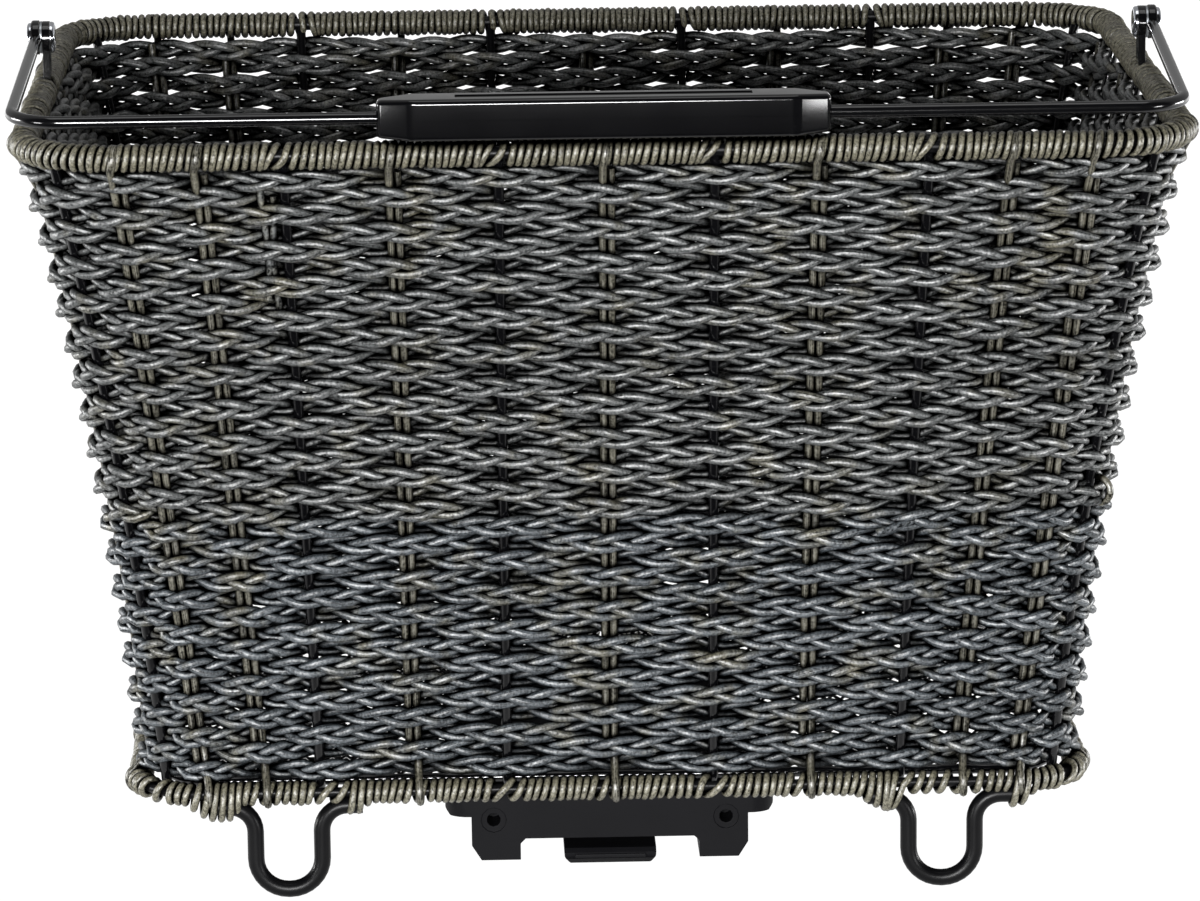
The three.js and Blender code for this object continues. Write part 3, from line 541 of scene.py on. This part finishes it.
class BASKET_OT_weave(bpy.types.Operator):
    """Plaits the wall: each row is three strands that weave in front of and behind the stakes"""
    bl_idname = "basket.weave"
    bl_label = "Woven wall"

    def execute(self, context):
        size = context.scene.basket_sizes
        draw = np.random.RandomState(11)
        pitch = (FIRST_ROW - LAST_ROW) / (size.rows - 1)
        bands = {"weave_rows_top": [], "weave_rows_upper": [], "weave_rows_lower": [], "weave_rows_base": []}
        names, rows_in_band, spacing = list(bands), 9, 3.4 * MM
        for row in range(1, size.rows + 1):
            z = FIRST_ROW - (row - 1) * pitch
            rim = rim_at(z, wall_inset(z))
            round_length = rim_lengths(rim).sum()
            count = int(round_length / spacing)
            s = np.arange(count) * round_length / count
            point, normal = along_rim(rim, s)
            stakes = stake_distances(rim)
            known = np.r_[stakes - round_length, stakes, stakes + round_length]
            total = len(STAKES)
            numbers = np.r_[np.arange(total) - total, np.arange(total), np.arange(total) + total]
            order = np.argsort(known)
            u = np.interp(s, known[order], numbers[order])
            sway = np.cos(np.pi * (u + row))
            way = -1 if row <= size.mirrored_rows else 1
            turn = way * 2 * np.pi * np.interp(u, np.arange(total + 1), PLAIT_TURNS)
            turn += math.radians(105 if row % 2 else 45) + draw.uniform(-0.25, 0.25)
            lift_phase = draw.uniform(0, 2 * np.pi, 3)
            once = 2 * np.pi * s / round_length
            lift = 0.2 * MM * sum(np.sin((3 + 4 * i) * once + lift_phase[i]) for i in range(3))
            rise = (size.plait_height - size.plait_strand) / 2 * (0.94 + 0.06 * sway ** 2)
            for strand in range(3):
                t = turn + strand * 2 * np.pi / 3
                out = size.sway * sway + size.plait_depth * np.sin(2 * t)
                xy = point + normal * out[:, None]
                bands[names[min((row - 1) // rows_in_band, 3)]].append(np.c_[xy, z + lift + rise * np.sin(t)])
        walls = ["weave_front", "weave_right", "weave_rear", "weave_left"]
        corners = ["weave_corner_" + c for c in ("front_right", "rear_right", "rear_left", "front_left")]
        for name, paths in bands.items():
            piece = tubes(name, paths, size.plait_strand, 8, closed=True)
            settle(piece, "basket", walls + corners, "weave")
        return {"FINISHED"}


class BASKET_OT_stakes(bpy.types.Operator):
    """Sets the twin strands and the bare wires that the rows weave round"""
    bl_idname = "basket.stakes"
    bl_label = "Stakes and uprights"

    def execute(self, context):
        size = context.scene.basket_sizes
        half = size.strand / 2
        over_top = size.top_wire / 2 + half + 1.0 * MM
        over_bottom = size.bottom_wire / 2 + half + 1.1 * MM
        twins, posts = [], []
        heights = np.arange(54, 284, 7) * MM
        for number, (_, _, _, kind) in enumerate(STAKES):
            if kind == "D":
                for side in (-1, 1):
                    path = []
                    if side > 0:
                        centre, out, across = stake_place(number, BOTTOM["z"])
                        for angle in range(-110, 70, 12):
                            a = math.radians(angle)
                            reach = over_bottom - max(0, -angle - 60) * 0.05 * MM
                            path.append(centre + reach * (out * math.cos(a) + np.array([0, 0, math.sin(a)]))
                                        + across * side * half * (1.4 - (angle + 110) / 500))
                    for z in heights:
                        centre, out, across = stake_place(number, z)
                        path.append(centre - out * wall_inset(z) + across * side * half * 1.05)
                    if side < 0:
                        centre, out, across = stake_place(number, TOP["z"])
                        for angle in range(-65, 115, 12):
                            a = math.radians(angle)
                            reach = over_top - max(0, angle) * 0.016 * MM
                            path.append(centre + reach * (out * math.cos(a) + np.array([0, 0, math.sin(a)]))
                                        - across * half * (1.0 - (angle + 65) / 110))
                    else:
                        centre, out, across = stake_place(number, TOP["z"] - 7 * MM)
                        path.append(centre - out * 3 * MM + across * half)
                    twins.append(path)
        piece = tubes("stake_strands", twins, size.strand * 1.06, 8)
        nodes = ["stake_pair_%d" % i for i in range(1, 8)] + ["cross_stake_%d" % i for i in range(1, 5)]
        settle(piece, "basket", nodes, "stake")

        # Loose ends: two beside a front stake, one on the front wall and a loop at the right front corner
        spare = []
        for shift, low in ((-8.2, 242), (-5.0, 238)):
            line = []
            for z in np.arange(low, 288, 5) * MM:
                centre, out, across = stake_place(37, z)
                sag = 0.9 * MM * math.sin(z / MM / 9 + shift)
                line.append(centre - out * wall_inset(z) + across * (shift * MM + sag))
            spare.append(line)
        centre, out, across = stake_place(3, 147 * MM)
        skin = centre - out * wall_inset(147 * MM)
        spare.append([skin + out * a * MM + across * b * MM + np.array([0, 0, c * MM])
                      for a, b, c in ((7.5, -13.5, -1.6), (6.0, -7, 0.2), (4.0, 0, 2.0), (1.5, 6, 3.2))])
        centre, out, across = stake_place(6, 158 * MM)
        skin = centre - out * wall_inset(158 * MM)
        eye = [skin + out * (3.0 + 5.5 * math.sin(a)) * MM + across * 3 * MM
               + np.array([0, 0, 5 * math.cos(a) * MM]) for a in np.linspace(-0.2, 3.3, 14)]
        loose = tubes("loose_strands", spare, size.strand, 8)
        settle(loose, "basket", [], "weave")
        settle(tubes("loose_loop", [eye], size.strand * 0.9, 8), "basket", [], "stake")

        def upright(number, low):
            line = []
            for z in np.linspace(low, TOP["z"] - 1 * MM, 30):
                centre, out, _ = stake_place(number, z)
                line.append(centre - out * max(wall_inset(z), 2.0 * MM))
            return line

        def hoop(near, far, z):
            low = z + 12 * MM
            corner = [stake_place(n, z + 6 * MM) for n in (near, far)]
            feet = [p - o * wall_inset(z + 6 * MM) for p, o, _ in corner]
            feet = [np.array([f[0], f[1], z]) for f in feet]
            floor = rounded([upright(near, low)[0], feet[0], feet[1], upright(far, low)[0]], 5.5 * MM)
            return upright(near, low)[::-1] + floor[1:-1] + upright(far, low)

        for kind, pairs, z in (("hoop", HOOP_STAKES, BOTTOM["z"]),
                               ("cross", CROSS_STAKES, BOTTOM["z"] - 4.3 * MM)):
            for i, (near, far) in enumerate(pairs, 1):
                wire = tubes("frame_%s_%d" % (kind, i), [hoop(near, far, z)], size.upright, 12)
                settle(wire, "basket", ["%s_wire_%d" % (kind, i)], "wire")
        for number, name in CORNER_STAKES:
            post = tubes("frame_post_" + name, [upright(number, BOTTOM["z"] - 2 * MM)], size.upright, 12)
            settle(post, "basket", ["corner_post_" + name], "wire")
        return {"FINISHED"}


class BASKET_OT_rims(bpy.types.Operator):
    """Bends the two rim wires and winds a strand round each, and round the tails of the standing loops"""
    bl_idname = "basket.rims"
    bl_label = "Bound rims"

    def execute(self, context):
        size = context.scene.basket_sizes
        draw = np.random.RandomState(5)
        step, points_per_turn = 0.05 * MM, 14
        for name, rim, wire, base in (("top", TOP, size.top_wire, 2.9 * MM),
                                      ("bottom", BOTTOM, size.bottom_wire, 2.95 * MM)):
            length = rim_lengths(rim).sum()
            start = length / 2
            s = np.arange(start, start + length, step)
            pitch = np.full(len(s), base)

            def gap(at, place):
                return (at - place + length / 2) % length - length / 2

            def loosen(place, amount, width):
                return amount * MM * np.exp(-(gap(s, place) / (width * MM)) ** 2)

            pitch -= loosen(length / 2, 0.45, 150)
            bare = []
            for number, (place, (where, _, _, kind)) in enumerate(zip(stake_distances(rim), STAKES)):
                if name == "top":
                    amount, width = (1.6, 5.0) if kind == "B" else (0.6, 2.0)
                    if where == "corner":
                        amount, width = 0.5, 20.0
                    if number in LUG_STAKES:
                        amount = 8.0
                else:
                    amount, width = (8.0, 4.5) if kind == "B" else (3.0, 3.0)
                    place += draw.uniform(-3, 3) * MM
                pitch += loosen(place, amount, width)
                if kind == "B" and where != "corner":
                    bare.append(place)
            for _ in range(90 if name == "bottom" else 60):
                place = draw.uniform(start, start + length)
                pitch += loosen(place, draw.uniform(-0.08, 0.3), draw.uniform(3, 10))
            if name == "bottom":
                pitch += loosen(FOOT_X + FRONT_FOOT_SHIFT + 6 * MM, 3.0, 13)
                pitch = base + (pitch - base) * (1 - self.tails(s, length))
            turn = np.cumsum(2 * np.pi * step / pitch)
            steps = np.arange(0, turn[-1], 2 * np.pi / points_per_turn)
            place = np.interp(steps, turn, s)
            lean = 0.12 + 0.12 * np.sin(steps / 7.1)
            for stake in bare:
                off = gap(place, stake) / MM
                near = 1 - np.abs(off - 3) / 8
                if name == "top":
                    near = np.where(off < 0, 1 + off / 9, 1 - off / 2)
                lean = np.maximum(lean, near)
            place = place + lean * 2.6 * MM * (np.sin(steps) - 1)
            point, normal = along_rim(rim, place)
            swell = 0.16 * MM * np.sin(steps / 5.3) + 0.14 * MM * np.sin(steps / 2.9 + 1)
            swell += 0.3 * MM * np.abs(normal[:, 0]) * np.sin(steps / 2.1)
            wide = tall = wire / 2 + size.strand / 2
            drop = np.zeros(len(place))
            if name == "bottom":
                drop = self.tails(place, length)
                wide = wide + drop * 1.0 * MM
                tall = tall + drop * (size.foot_wire + size.bottom_wire) * 0.31
            xy = point + normal * ((wide + swell) * np.cos(steps))[:, None]
            path = np.c_[xy, rim["z"] - drop * 3.1 * MM + (tall + swell) * np.sin(steps)]
            wrap = tubes(name + "_rim_wrap", [path], size.strand * 0.95, 8)
            settle(wrap, "basket", [name + "_binding"], "olive")
            distances = np.linspace(start, start + length, 220)[:-1]
            ring = np.c_[along_rim(rim, distances)[0], np.full(219, rim["z"])]
            core = tubes(name + "_rim_core", [ring], wire, 12, closed=True)
            settle(core, "basket", [name + "_rim_wire"], "powder")
        return {"FINISHED"}

    def tails(self, place, length):
        """How far the winding takes in the tails of the standing loops, from 0 to 1."""
        share = np.zeros(len(place))
        for foot, outer, inner in ((length + FRONT_FOOT_SHIFT - FOOT_X, (-42, -18), (22, 33)),
                                   (FRONT_FOOT_SHIFT + FOOT_X, (-36, -15), (25, 38)),
                                   (length / 2 - FOOT_X, (-36, -21), (19, 40)),
                                   (length / 2 + FOOT_X, (-40, -19), (15, 34))):
            at = ((place - foot + length / 2) % length - length / 2) / MM
            for low, high, rise, fall in ((*outer, 14, 3), (*inner, 3, 10)):
                share = np.maximum(share, np.clip(np.minimum((at - low) / rise, (high - at) / fall), 0, 1))
        return share * share * (3 - 2 * share)


class BASKET_OT_floor(bpy.types.Operator):
    """Lays the open mesh floor of long diamonds in a wire border"""
    bl_idname = "basket.floor"
    bl_label = "Mesh floor"

    def execute(self, context):
        low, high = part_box("weave_floor")
        z = (low.z + high.z) / 2
        edge = {"a": high.x + 4 * MM, "b": high.y + 4 * MM, "r": 21 * MM, "z": z - 1.2 * MM}
        half_w, half_l = 2.7 * MM, 7.0 * MM
        strand, border_wire = 1.3 * MM, 4.0 * MM
        step, shortest = 0.5 * MM, 6 * MM
        lines = []
        slope = half_l / half_w
        inner_a, inner_b, bend = (edge[key] - 0.5 * MM for key in "abr")
        reach = inner_b / slope
        y = np.arange(-inner_b, inner_b, step)
        for way in (-1, 1):
            for start in np.arange(-inner_a - reach, inner_a + reach, 2 * half_w):
                x = start + way * y / slope
                past = [np.maximum(abs(x) - inner_a + bend, 0), np.maximum(abs(y) - inner_b + bend, 0)]
                inside = np.flatnonzero(np.hypot(*past) <= bend)
                if len(inside) * step > shortest:
                    lines.append([(x[k], y[k], z) for k in inside[[0, -1]]])
        mesh = tubes("floor_mesh", lines, strand, 6)
        settle(mesh, "basket", ["weave_floor"], "wire")
        length = rim_lengths(edge).sum()
        distances = np.linspace(0, length, 160)[:-1]
        ring = np.c_[along_rim(edge, distances)[0], np.full(159, edge["z"])]
        border = tubes("floor_border", [ring], border_wire, 10, closed=True)
        settle(border, "basket", [], "wire")
        return {"FINISHED"}


class BASKET_OT_feet(bpy.types.Operator):
    """Bends the four standing loops"""
    bl_idname = "basket.feet"
    bl_label = "Standing loops"

    def execute(self, context):
        size = context.scene.basket_sizes
        for name, sx, sy in (("front_left", -1, -1), ("front_right", 1, -1),
                             ("rear_left", -1, 1), ("rear_right", 1, 1)):
            x, y = sx * FOOT_X + (FRONT_FOOT_SHIFT if sy < 0 else 0), sy * BOTTOM["b"]
            leg, tail, low = 12.9 * MM, 36.7 * MM, size.foot_wire / 2

            def shoulder(side):
                far = x + side * (leg + 16 * MM)
                near = x + side * leg
                return rounded([(far, y, tail), (near, y, tail), (near, y, tail / 2)], 10 * MM)

            corners = [(x - leg, tail / 2), (x - leg, low), (x + leg, low), (x + leg, tail / 2)]
            turn = rounded([(u, y, v) for u, v in corners], 12.6 * MM)
            path = shoulder(-1)[:-1] + turn[1:-1] + shoulder(1)[:-1][::-1]
            loop = tubes("standing_loop_" + name, [path], size.foot_wire, 16)
            settle(loop, "basket", ["foot_loop_" + name], "powder")
        return {"FINISHED"}


class BASKET_OT_handle(bpy.types.Operator):
    """Bends the handle's rod, closes two grip shells round it and fits its pivots"""
    bl_idname = "basket.handle"
    bl_label = "Carry handle"

    def execute(self, context):
        size = context.scene.basket_sizes
        low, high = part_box("grip_lower_shell")[0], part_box("grip_upper_shell")[1]
        grip_size = Vector((169.5 * MM, 17.5 * MM, 15.9 * MM))
        grip = Vector(((low.x + high.x) / 2 - 1 * MM, (low.y + high.y) / 2, low.z + grip_size.z / 2))
        eye_x, corner_x, corner_shift = 222.4 * MM, 219.8 * MM, -2.8 * MM
        arm = np.array([0, grip.y, grip.z - PIVOT_Z])
        arm /= np.linalg.norm(arm)
        ends = [np.array([sx * (eye_x - 0.4 * MM), 0, PIVOT_Z]) + arm * 6 * MM for sx in (-1, 1)]
        corners = [np.array([sx * corner_x + corner_shift, grip.y, grip.z]) for sx in (-1, 1)]
        bent = rounded([ends[0], *corners, ends[1]], 20 * MM, 14)
        rod = tubes("handle_rod", [bent], size.bail_rod, 16)
        settle(rod, "bail", ["bail_rod"], "gloss")
        for side, sx in (("left", -1), ("right", 1)):
            for name, foot, way, radius, height, dome, body, slot, stands_for, finish in (
                ("handle_eye_", 220.8, 1, 6.8, 3.2, 1.2, "bail", "black_wire", None, "gloss"),
                ("pivot_head_", 224.0, 1, 5.8, 1.6, 1.4, "basket", "chrome", "pivot_bolt_", "chrome"),
                ("pivot_disc_", 219.6, 1, 6.4, 0.9, 0.2, "basket", "zinc_steel", "pivot_washer_", "zinc"),
                ("pivot_cap_", 216.4, -1, 6.2, 1.8, 1.5, "basket", "chrome", "pivot_nut_", "chrome"),
            ):
                disc = turned(name + side, (sx * foot * MM, 0, PIVOT_Z), (sx * way, 0, 0), radius * MM,
                              height * MM, dome * MM)
                settle(disc, body, [stands_for + side] if stands_for else [], finish)
            lug = eased_copy("rim_lug_" + side, "handle_lug_" + side, 0.5 * MM)
            settle(lug, "basket", ["handle_lug_" + side], "gloss")
        for name, way in (("upper", 1), ("lower", -1)):
            shell = self.shell("grip_" + name, grip, grip_size, way)
            settle(shell, "bail", ["grip_%s_shell" % name], "grip")
        return {"FINISHED"}

    def shell(self, name, centre, size, way):
        """Half of the grip: a block with drawn-in ends, eased edges and, on top, a sunk plain strip."""
        deselect()
        bpy.ops.mesh.primitive_cube_add(size=1.0, location=centre, scale=size)
        piece = bpy.context.active_object
        piece.name = piece.data.name = name
        bpy.ops.object.transform_apply(location=True, rotation=True, scale=True)
        mode("EDIT")
        end = size.x / 2 - 13 * MM
        for x in (-end, end):
            bpy.ops.mesh.select_all(action="SELECT")
            bpy.ops.mesh.bisect(plane_co=(centre.x + x, 0, 0), plane_no=(1, 0, 0))
        bpy.ops.mesh.select_mode(type="FACE")
        bpy.ops.mesh.select_all(action="DESELECT")
        mode("OBJECT")
        for face in piece.data.polygons:
            face.select = abs(face.normal.x) > 0.9
        mode("EDIT")
        bpy.ops.transform.resize(value=(1, 0.42, 0.9), center_override=centre)
        mode("OBJECT")
        ease = piece.modifiers.new("Eased edges", "BEVEL")
        ease.width, ease.segments, ease.limit_method = 2.0 * MM, 4, "ANGLE"
        ease.angle_limit = math.radians(15)
        bpy.ops.object.modifier_apply(modifier=ease.name)
        mode("EDIT")
        bpy.ops.mesh.select_all(action="SELECT")
        seam = centre.z + way * 0.04 * MM
        bpy.ops.mesh.bisect(plane_co=(0, 0, seam), plane_no=(0, 0, way), clear_inner=True, use_fill=True)
        if way > 0:
            for x in (-59 * MM, 59 * MM):
                bpy.ops.mesh.select_all(action="SELECT")
                bpy.ops.mesh.bisect(plane_co=(centre.x + x, 0, 0), plane_no=(1, 0, 0))
            bpy.ops.mesh.select_all(action="DESELECT")
            mode("OBJECT")
            for face in piece.data.polygons:
                middle = abs(face.center.x) < 5 * MM and face.area > 500 * MM * MM
                face.select = middle and face.normal.z > 0.99
            mode("EDIT")
            bpy.ops.mesh.inset(thickness=3.6 * MM)
            bpy.ops.mesh.inset(thickness=0.4 * MM, depth=-0.6 * MM)
        mode("OBJECT")
        flat_faces(piece)
        return piece


class BASKET_OT_adapter(bpy.types.Operator):
    """Finishes the moulded rack adapter, its plate, screws and release lever"""
    bl_idname = "basket.adapter"
    bl_label = "Rack adapter"

    def execute(self, context):
        body = eased_copy("adapter_shell", "adapter_body", 0.7 * MM)
        settle(body, "basket", ["adapter_body"], "nylon")
        tab = eased_copy("release_tab", "release_lever", 0.6 * MM, 2.4 * MM)
        settle(tab, "lever", ["release_lever"], "nylon")
        low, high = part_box("release_lever")
        deselect()
        bpy.ops.mesh.primitive_cube_add(size=1.0, location=((low.x + high.x) / 2, low.y, low.z + 2.5 * MM),
                                        scale=(28 * MM, 1.2 * MM, 1.8 * MM))
        strip = context.active_object
        strip.name = strip.data.name = "release_tab_strip"
        bpy.ops.object.transform_apply(location=True, rotation=True, scale=True)
        mode("EDIT")
        bpy.ops.mesh.bevel(offset=0.4 * MM, segments=3)
        mode("OBJECT")
        flat_faces(strip)
        settle(strip, "lever", [], "nylon")
        sheet = eased_copy("clamp_sheet", "clamp_plate", 0.5 * MM)
        settle(sheet, "basket", ["clamp_plate"], "nylon")
        for i in range(1, 5):
            low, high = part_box("clamp_screw_%d" % i)
            middle = (low + high) / 2
            head = turned("clamp_screw_head_%d" % i, (middle.x, middle.y, high.z - 2.8 * MM), (0, 0, 1),
                          4.5 * MM, 2.8 * MM, 1.6 * MM)
            settle(head, "basket", ["clamp_screw_%d" % i], "zinc")
        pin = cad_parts["lever_pin"]
        pin.data.materials.clear()
        pin.data.materials.append(finishes()["zinc"])
        low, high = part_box("lever_spring")
        middle, wire = (low + high) / 2, 0.9 * MM
        turn = np.linspace(0, 10 * np.pi, 100)
        radius = (high.x - low.x - wire) / 2
        rise = np.linspace(low.z + wire / 2, high.z - wire / 2, 100)
        coil = np.c_[middle.x + radius * np.cos(turn), middle.y + radius * np.sin(turn), rise]
        spring = tubes("return_spring", [coil], wire, 8)
        settle(spring, "basket", ["lever_spring"], "zinc")
        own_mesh(spring)
        return {"FINISHED"}


class BASKET_OT_stage(bpy.types.Operator):
    """Sets the pale floor, the soft studio light and the camera"""
    bl_idname = "basket.stage"
    bl_label = "Stage"

    def execute(self, context):
        scene = context.scene
        deselect()
        bpy.ops.mesh.primitive_plane_add(size=40)
        floor = context.active_object
        floor.name = "stage_floor"
        material, tree, shader = blank("White paper floor")
        shader.inputs["Base Color"].default_value = srgb(0xB8B8B8)
        shader.inputs["Roughness"].default_value = 0.9
        path = node(tree, "LightPath")
        mirror = node(tree, "Math", {0: path.outputs["Is Glossy Ray"],
                                     1: path.outputs["Is Transmission Ray"]}, operation="MAXIMUM")
        place = node(tree, "TexCoord")
        away = node(tree, "VectorMath", {0: place.outputs["Object"]}, operation="LENGTH")
        far = node(tree, "MapRange", {"Value": away.outputs["Value"], "From Min": 0.5, "From Max": 1.3,
                                      "To Min": 0.95, "To Max": 1.0})
        share = node(tree, "Math", {0: path.outputs["Is Camera Ray"], 1: far}, operation="MULTIPLY")
        share = node(tree, "Math", {0: share, 1: mirror}, operation="MAXIMUM")
        # Painted reflection: glossy and transmission rays see the floor glow, near black in front of the
        # basket and up to 2.5 times brighter beyond 0.7 m to either side, which puts light into the
        # reflections on the metal and plastic
        apart = node(tree, "SeparateXYZ", {"Vector": place.outputs["Object"]})
        front = node(tree, "MapRange", {"Value": apart.outputs["Y"], "From Min": -0.36, "From Max": -0.2,
                                        "To Min": 0.02, "To Max": 0.85})
        across = node(tree, "Math", {0: apart.outputs["X"]}, operation="ABSOLUTE")
        side = node(tree, "MapRange", {"Value": across, "From Min": 0.7, "From Max": 1.1, "To Min": 1.0,
                                       "To Max": 2.5})
        level = node(tree, "Math", {0: front, 1: side}, operation="MULTIPLY")
        level = node(tree, "Math", {0: path.outputs["Is Camera Ray"], 1: level}, operation="MAXIMUM")
        level = node(tree, "Math", {0: level, 1: 1.1}, operation="MULTIPLY")
        glow = node(tree, "Emission", {"Color": (1, 1, 1, 1), "Strength": level})
        mix = node(tree, "MixShader", {0: share, 1: shader, 2: glow})
        out = next(n for n in tree.nodes if n.type == "OUTPUT_MATERIAL")
        tree.links.new(mix.outputs[0], out.inputs["Surface"])
        floor.data.materials.append(material)

        world = bpy.data.worlds.new("Studio")
        scene.world = world
        world.use_nodes = True
        tree = world.node_tree
        tree.nodes.clear()
        path = node(tree, "LightPath")
        place = node(tree, "TexCoord")
        apart = node(tree, "SeparateXYZ", {"Vector": place.outputs["Object"]})
        front = node(tree, "MapRange", {"Value": apart.outputs["Y"], "From Min": -0.25, "From Max": 0.08,
                                        "To Min": 0.015, "To Max": 0.4})
        mirror = node(tree, "Math", {0: path.outputs["Is Glossy Ray"],
                                     1: path.outputs["Is Transmission Ray"]}, operation="MAXIMUM")
        soft = node(tree, "Mix", {"Factor": mirror, "A": 0.03, "B": front}, data_type="FLOAT")
        level = node(tree, "Math", {0: path.outputs["Is Camera Ray"], 1: soft.outputs["Result"]},
                     operation="MAXIMUM")
        back = node(tree, "Background", {"Color": (1, 1, 1, 1), "Strength": level})
        node(tree, "OutputWorld", {"Surface": back})

        for name, place, aim, size, power in (
            ("Key softbox", (-0.3, -2.3, 0.45), (0, 0, 0.18), (0.9, 0.3), 94),
            ("Left strip", (-1.7, -1.4, 0.17), (0, 0, 0.2), (0.5, 0.3), 14),
            ("Right strip", (1.7, -1.4, 0.17), (0, 0, 0.2), (0.5, 0.3), 14),
            ("Left softbox", (-2.3, 0.4, 0.15), (0, 0, 0.15), (1.0, 0.25), 40),
            ("Right softbox", (2.3, 0.4, 0.15), (0, 0, 0.15), (1.0, 0.25), 40),
            ("Rear softbox", (0.0, 2.4, 0.15), (0, 0, 0.15), (1.2, 0.25), 60),
            ("Top softbox", (0.0, -0.25, 2.1), (0, -0.02, 0.2), (1.6, 0.9), 8),
        ):
            lamp = bpy.data.lights.new(name, "AREA")
            lamp.shape, lamp.size, lamp.size_y, lamp.energy = "RECTANGLE", *size, power
            light = bpy.data.objects.new(name, lamp)
            light.location = place
            light.rotation_euler = (Vector(aim) - Vector(place)).to_track_quat("-Z", "Y").to_euler()
            light.visible_glossy = name != "Rear softbox"
            scene.collection.objects.link(light)

        lens = bpy.data.cameras.new("Camera")
        lens.sensor_width = SENSOR_WIDTH
        lens.lens = FOCAL_PIXELS / STAGE_IMAGE[0] * SENSOR_WIDTH
        lens.clip_start, lens.clip_end = 0.1, 60
        camera = bpy.data.objects.new("Camera", lens)
        camera.location = CAMERA_PLACE
        turn = Euler((CAMERA_TILT, 0, CAMERA_PAN)).to_matrix()
        roll = Euler((0, 0, CAMERA_ROLL)).to_matrix()
        camera.rotation_euler = (turn @ roll).to_euler()
        scene.collection.objects.link(camera)
        scene.camera = camera
        scene.view_settings.view_transform = "Standard"
        return {"FINISHED"}


OPERATORS = [BASKET_OT_stage, BASKET_OT_rims, BASKET_OT_stakes, BASKET_OT_weave, BASKET_OT_floor,
             BASKET_OT_feet, BASKET_OT_handle, BASKET_OT_adapter]


class BASKET_PT_build(bpy.types.Panel):
    """Lists the basket's sizes, colours and making steps"""
    bl_label = "Basket"
    bl_idname = "BASKET_PT_build"
    bl_space_type = "VIEW_3D"
    bl_region_type = "UI"
    bl_category = "Basket"

    def draw(self, context):
        for group in (context.scene.basket_sizes, context.scene.basket_colours):
            column = self.layout.column()
            for key in group.__annotations__:
                column.prop(group, key)
        for operator in OPERATORS:
            self.layout.operator(operator.bl_idname)


CLASSES = [BasketSizes, BasketColours, *OPERATORS, BASKET_PT_build]


def register():
    for item in CLASSES:
        bpy.utils.register_class(item)
    bpy.types.Scene.basket_sizes = PointerProperty(type=BasketSizes)
    bpy.types.Scene.basket_colours = PointerProperty(type=BasketColours)


def unregister():
    del bpy.types.Scene.basket_colours
    del bpy.types.Scene.basket_sizes
    for item in reversed(CLASSES):
        bpy.utils.unregister_class(item)


def main():
    register()
    bpy.ops.basket.stage()
    bpy.ops.basket.rims()
    bpy.ops.basket.stakes()
    bpy.ops.basket.weave()
    bpy.ops.basket.floor()
    bpy.ops.basket.feet()
    bpy.ops.basket.handle()
    bpy.ops.basket.adapter()


if __name__ == "__main__":
    main()
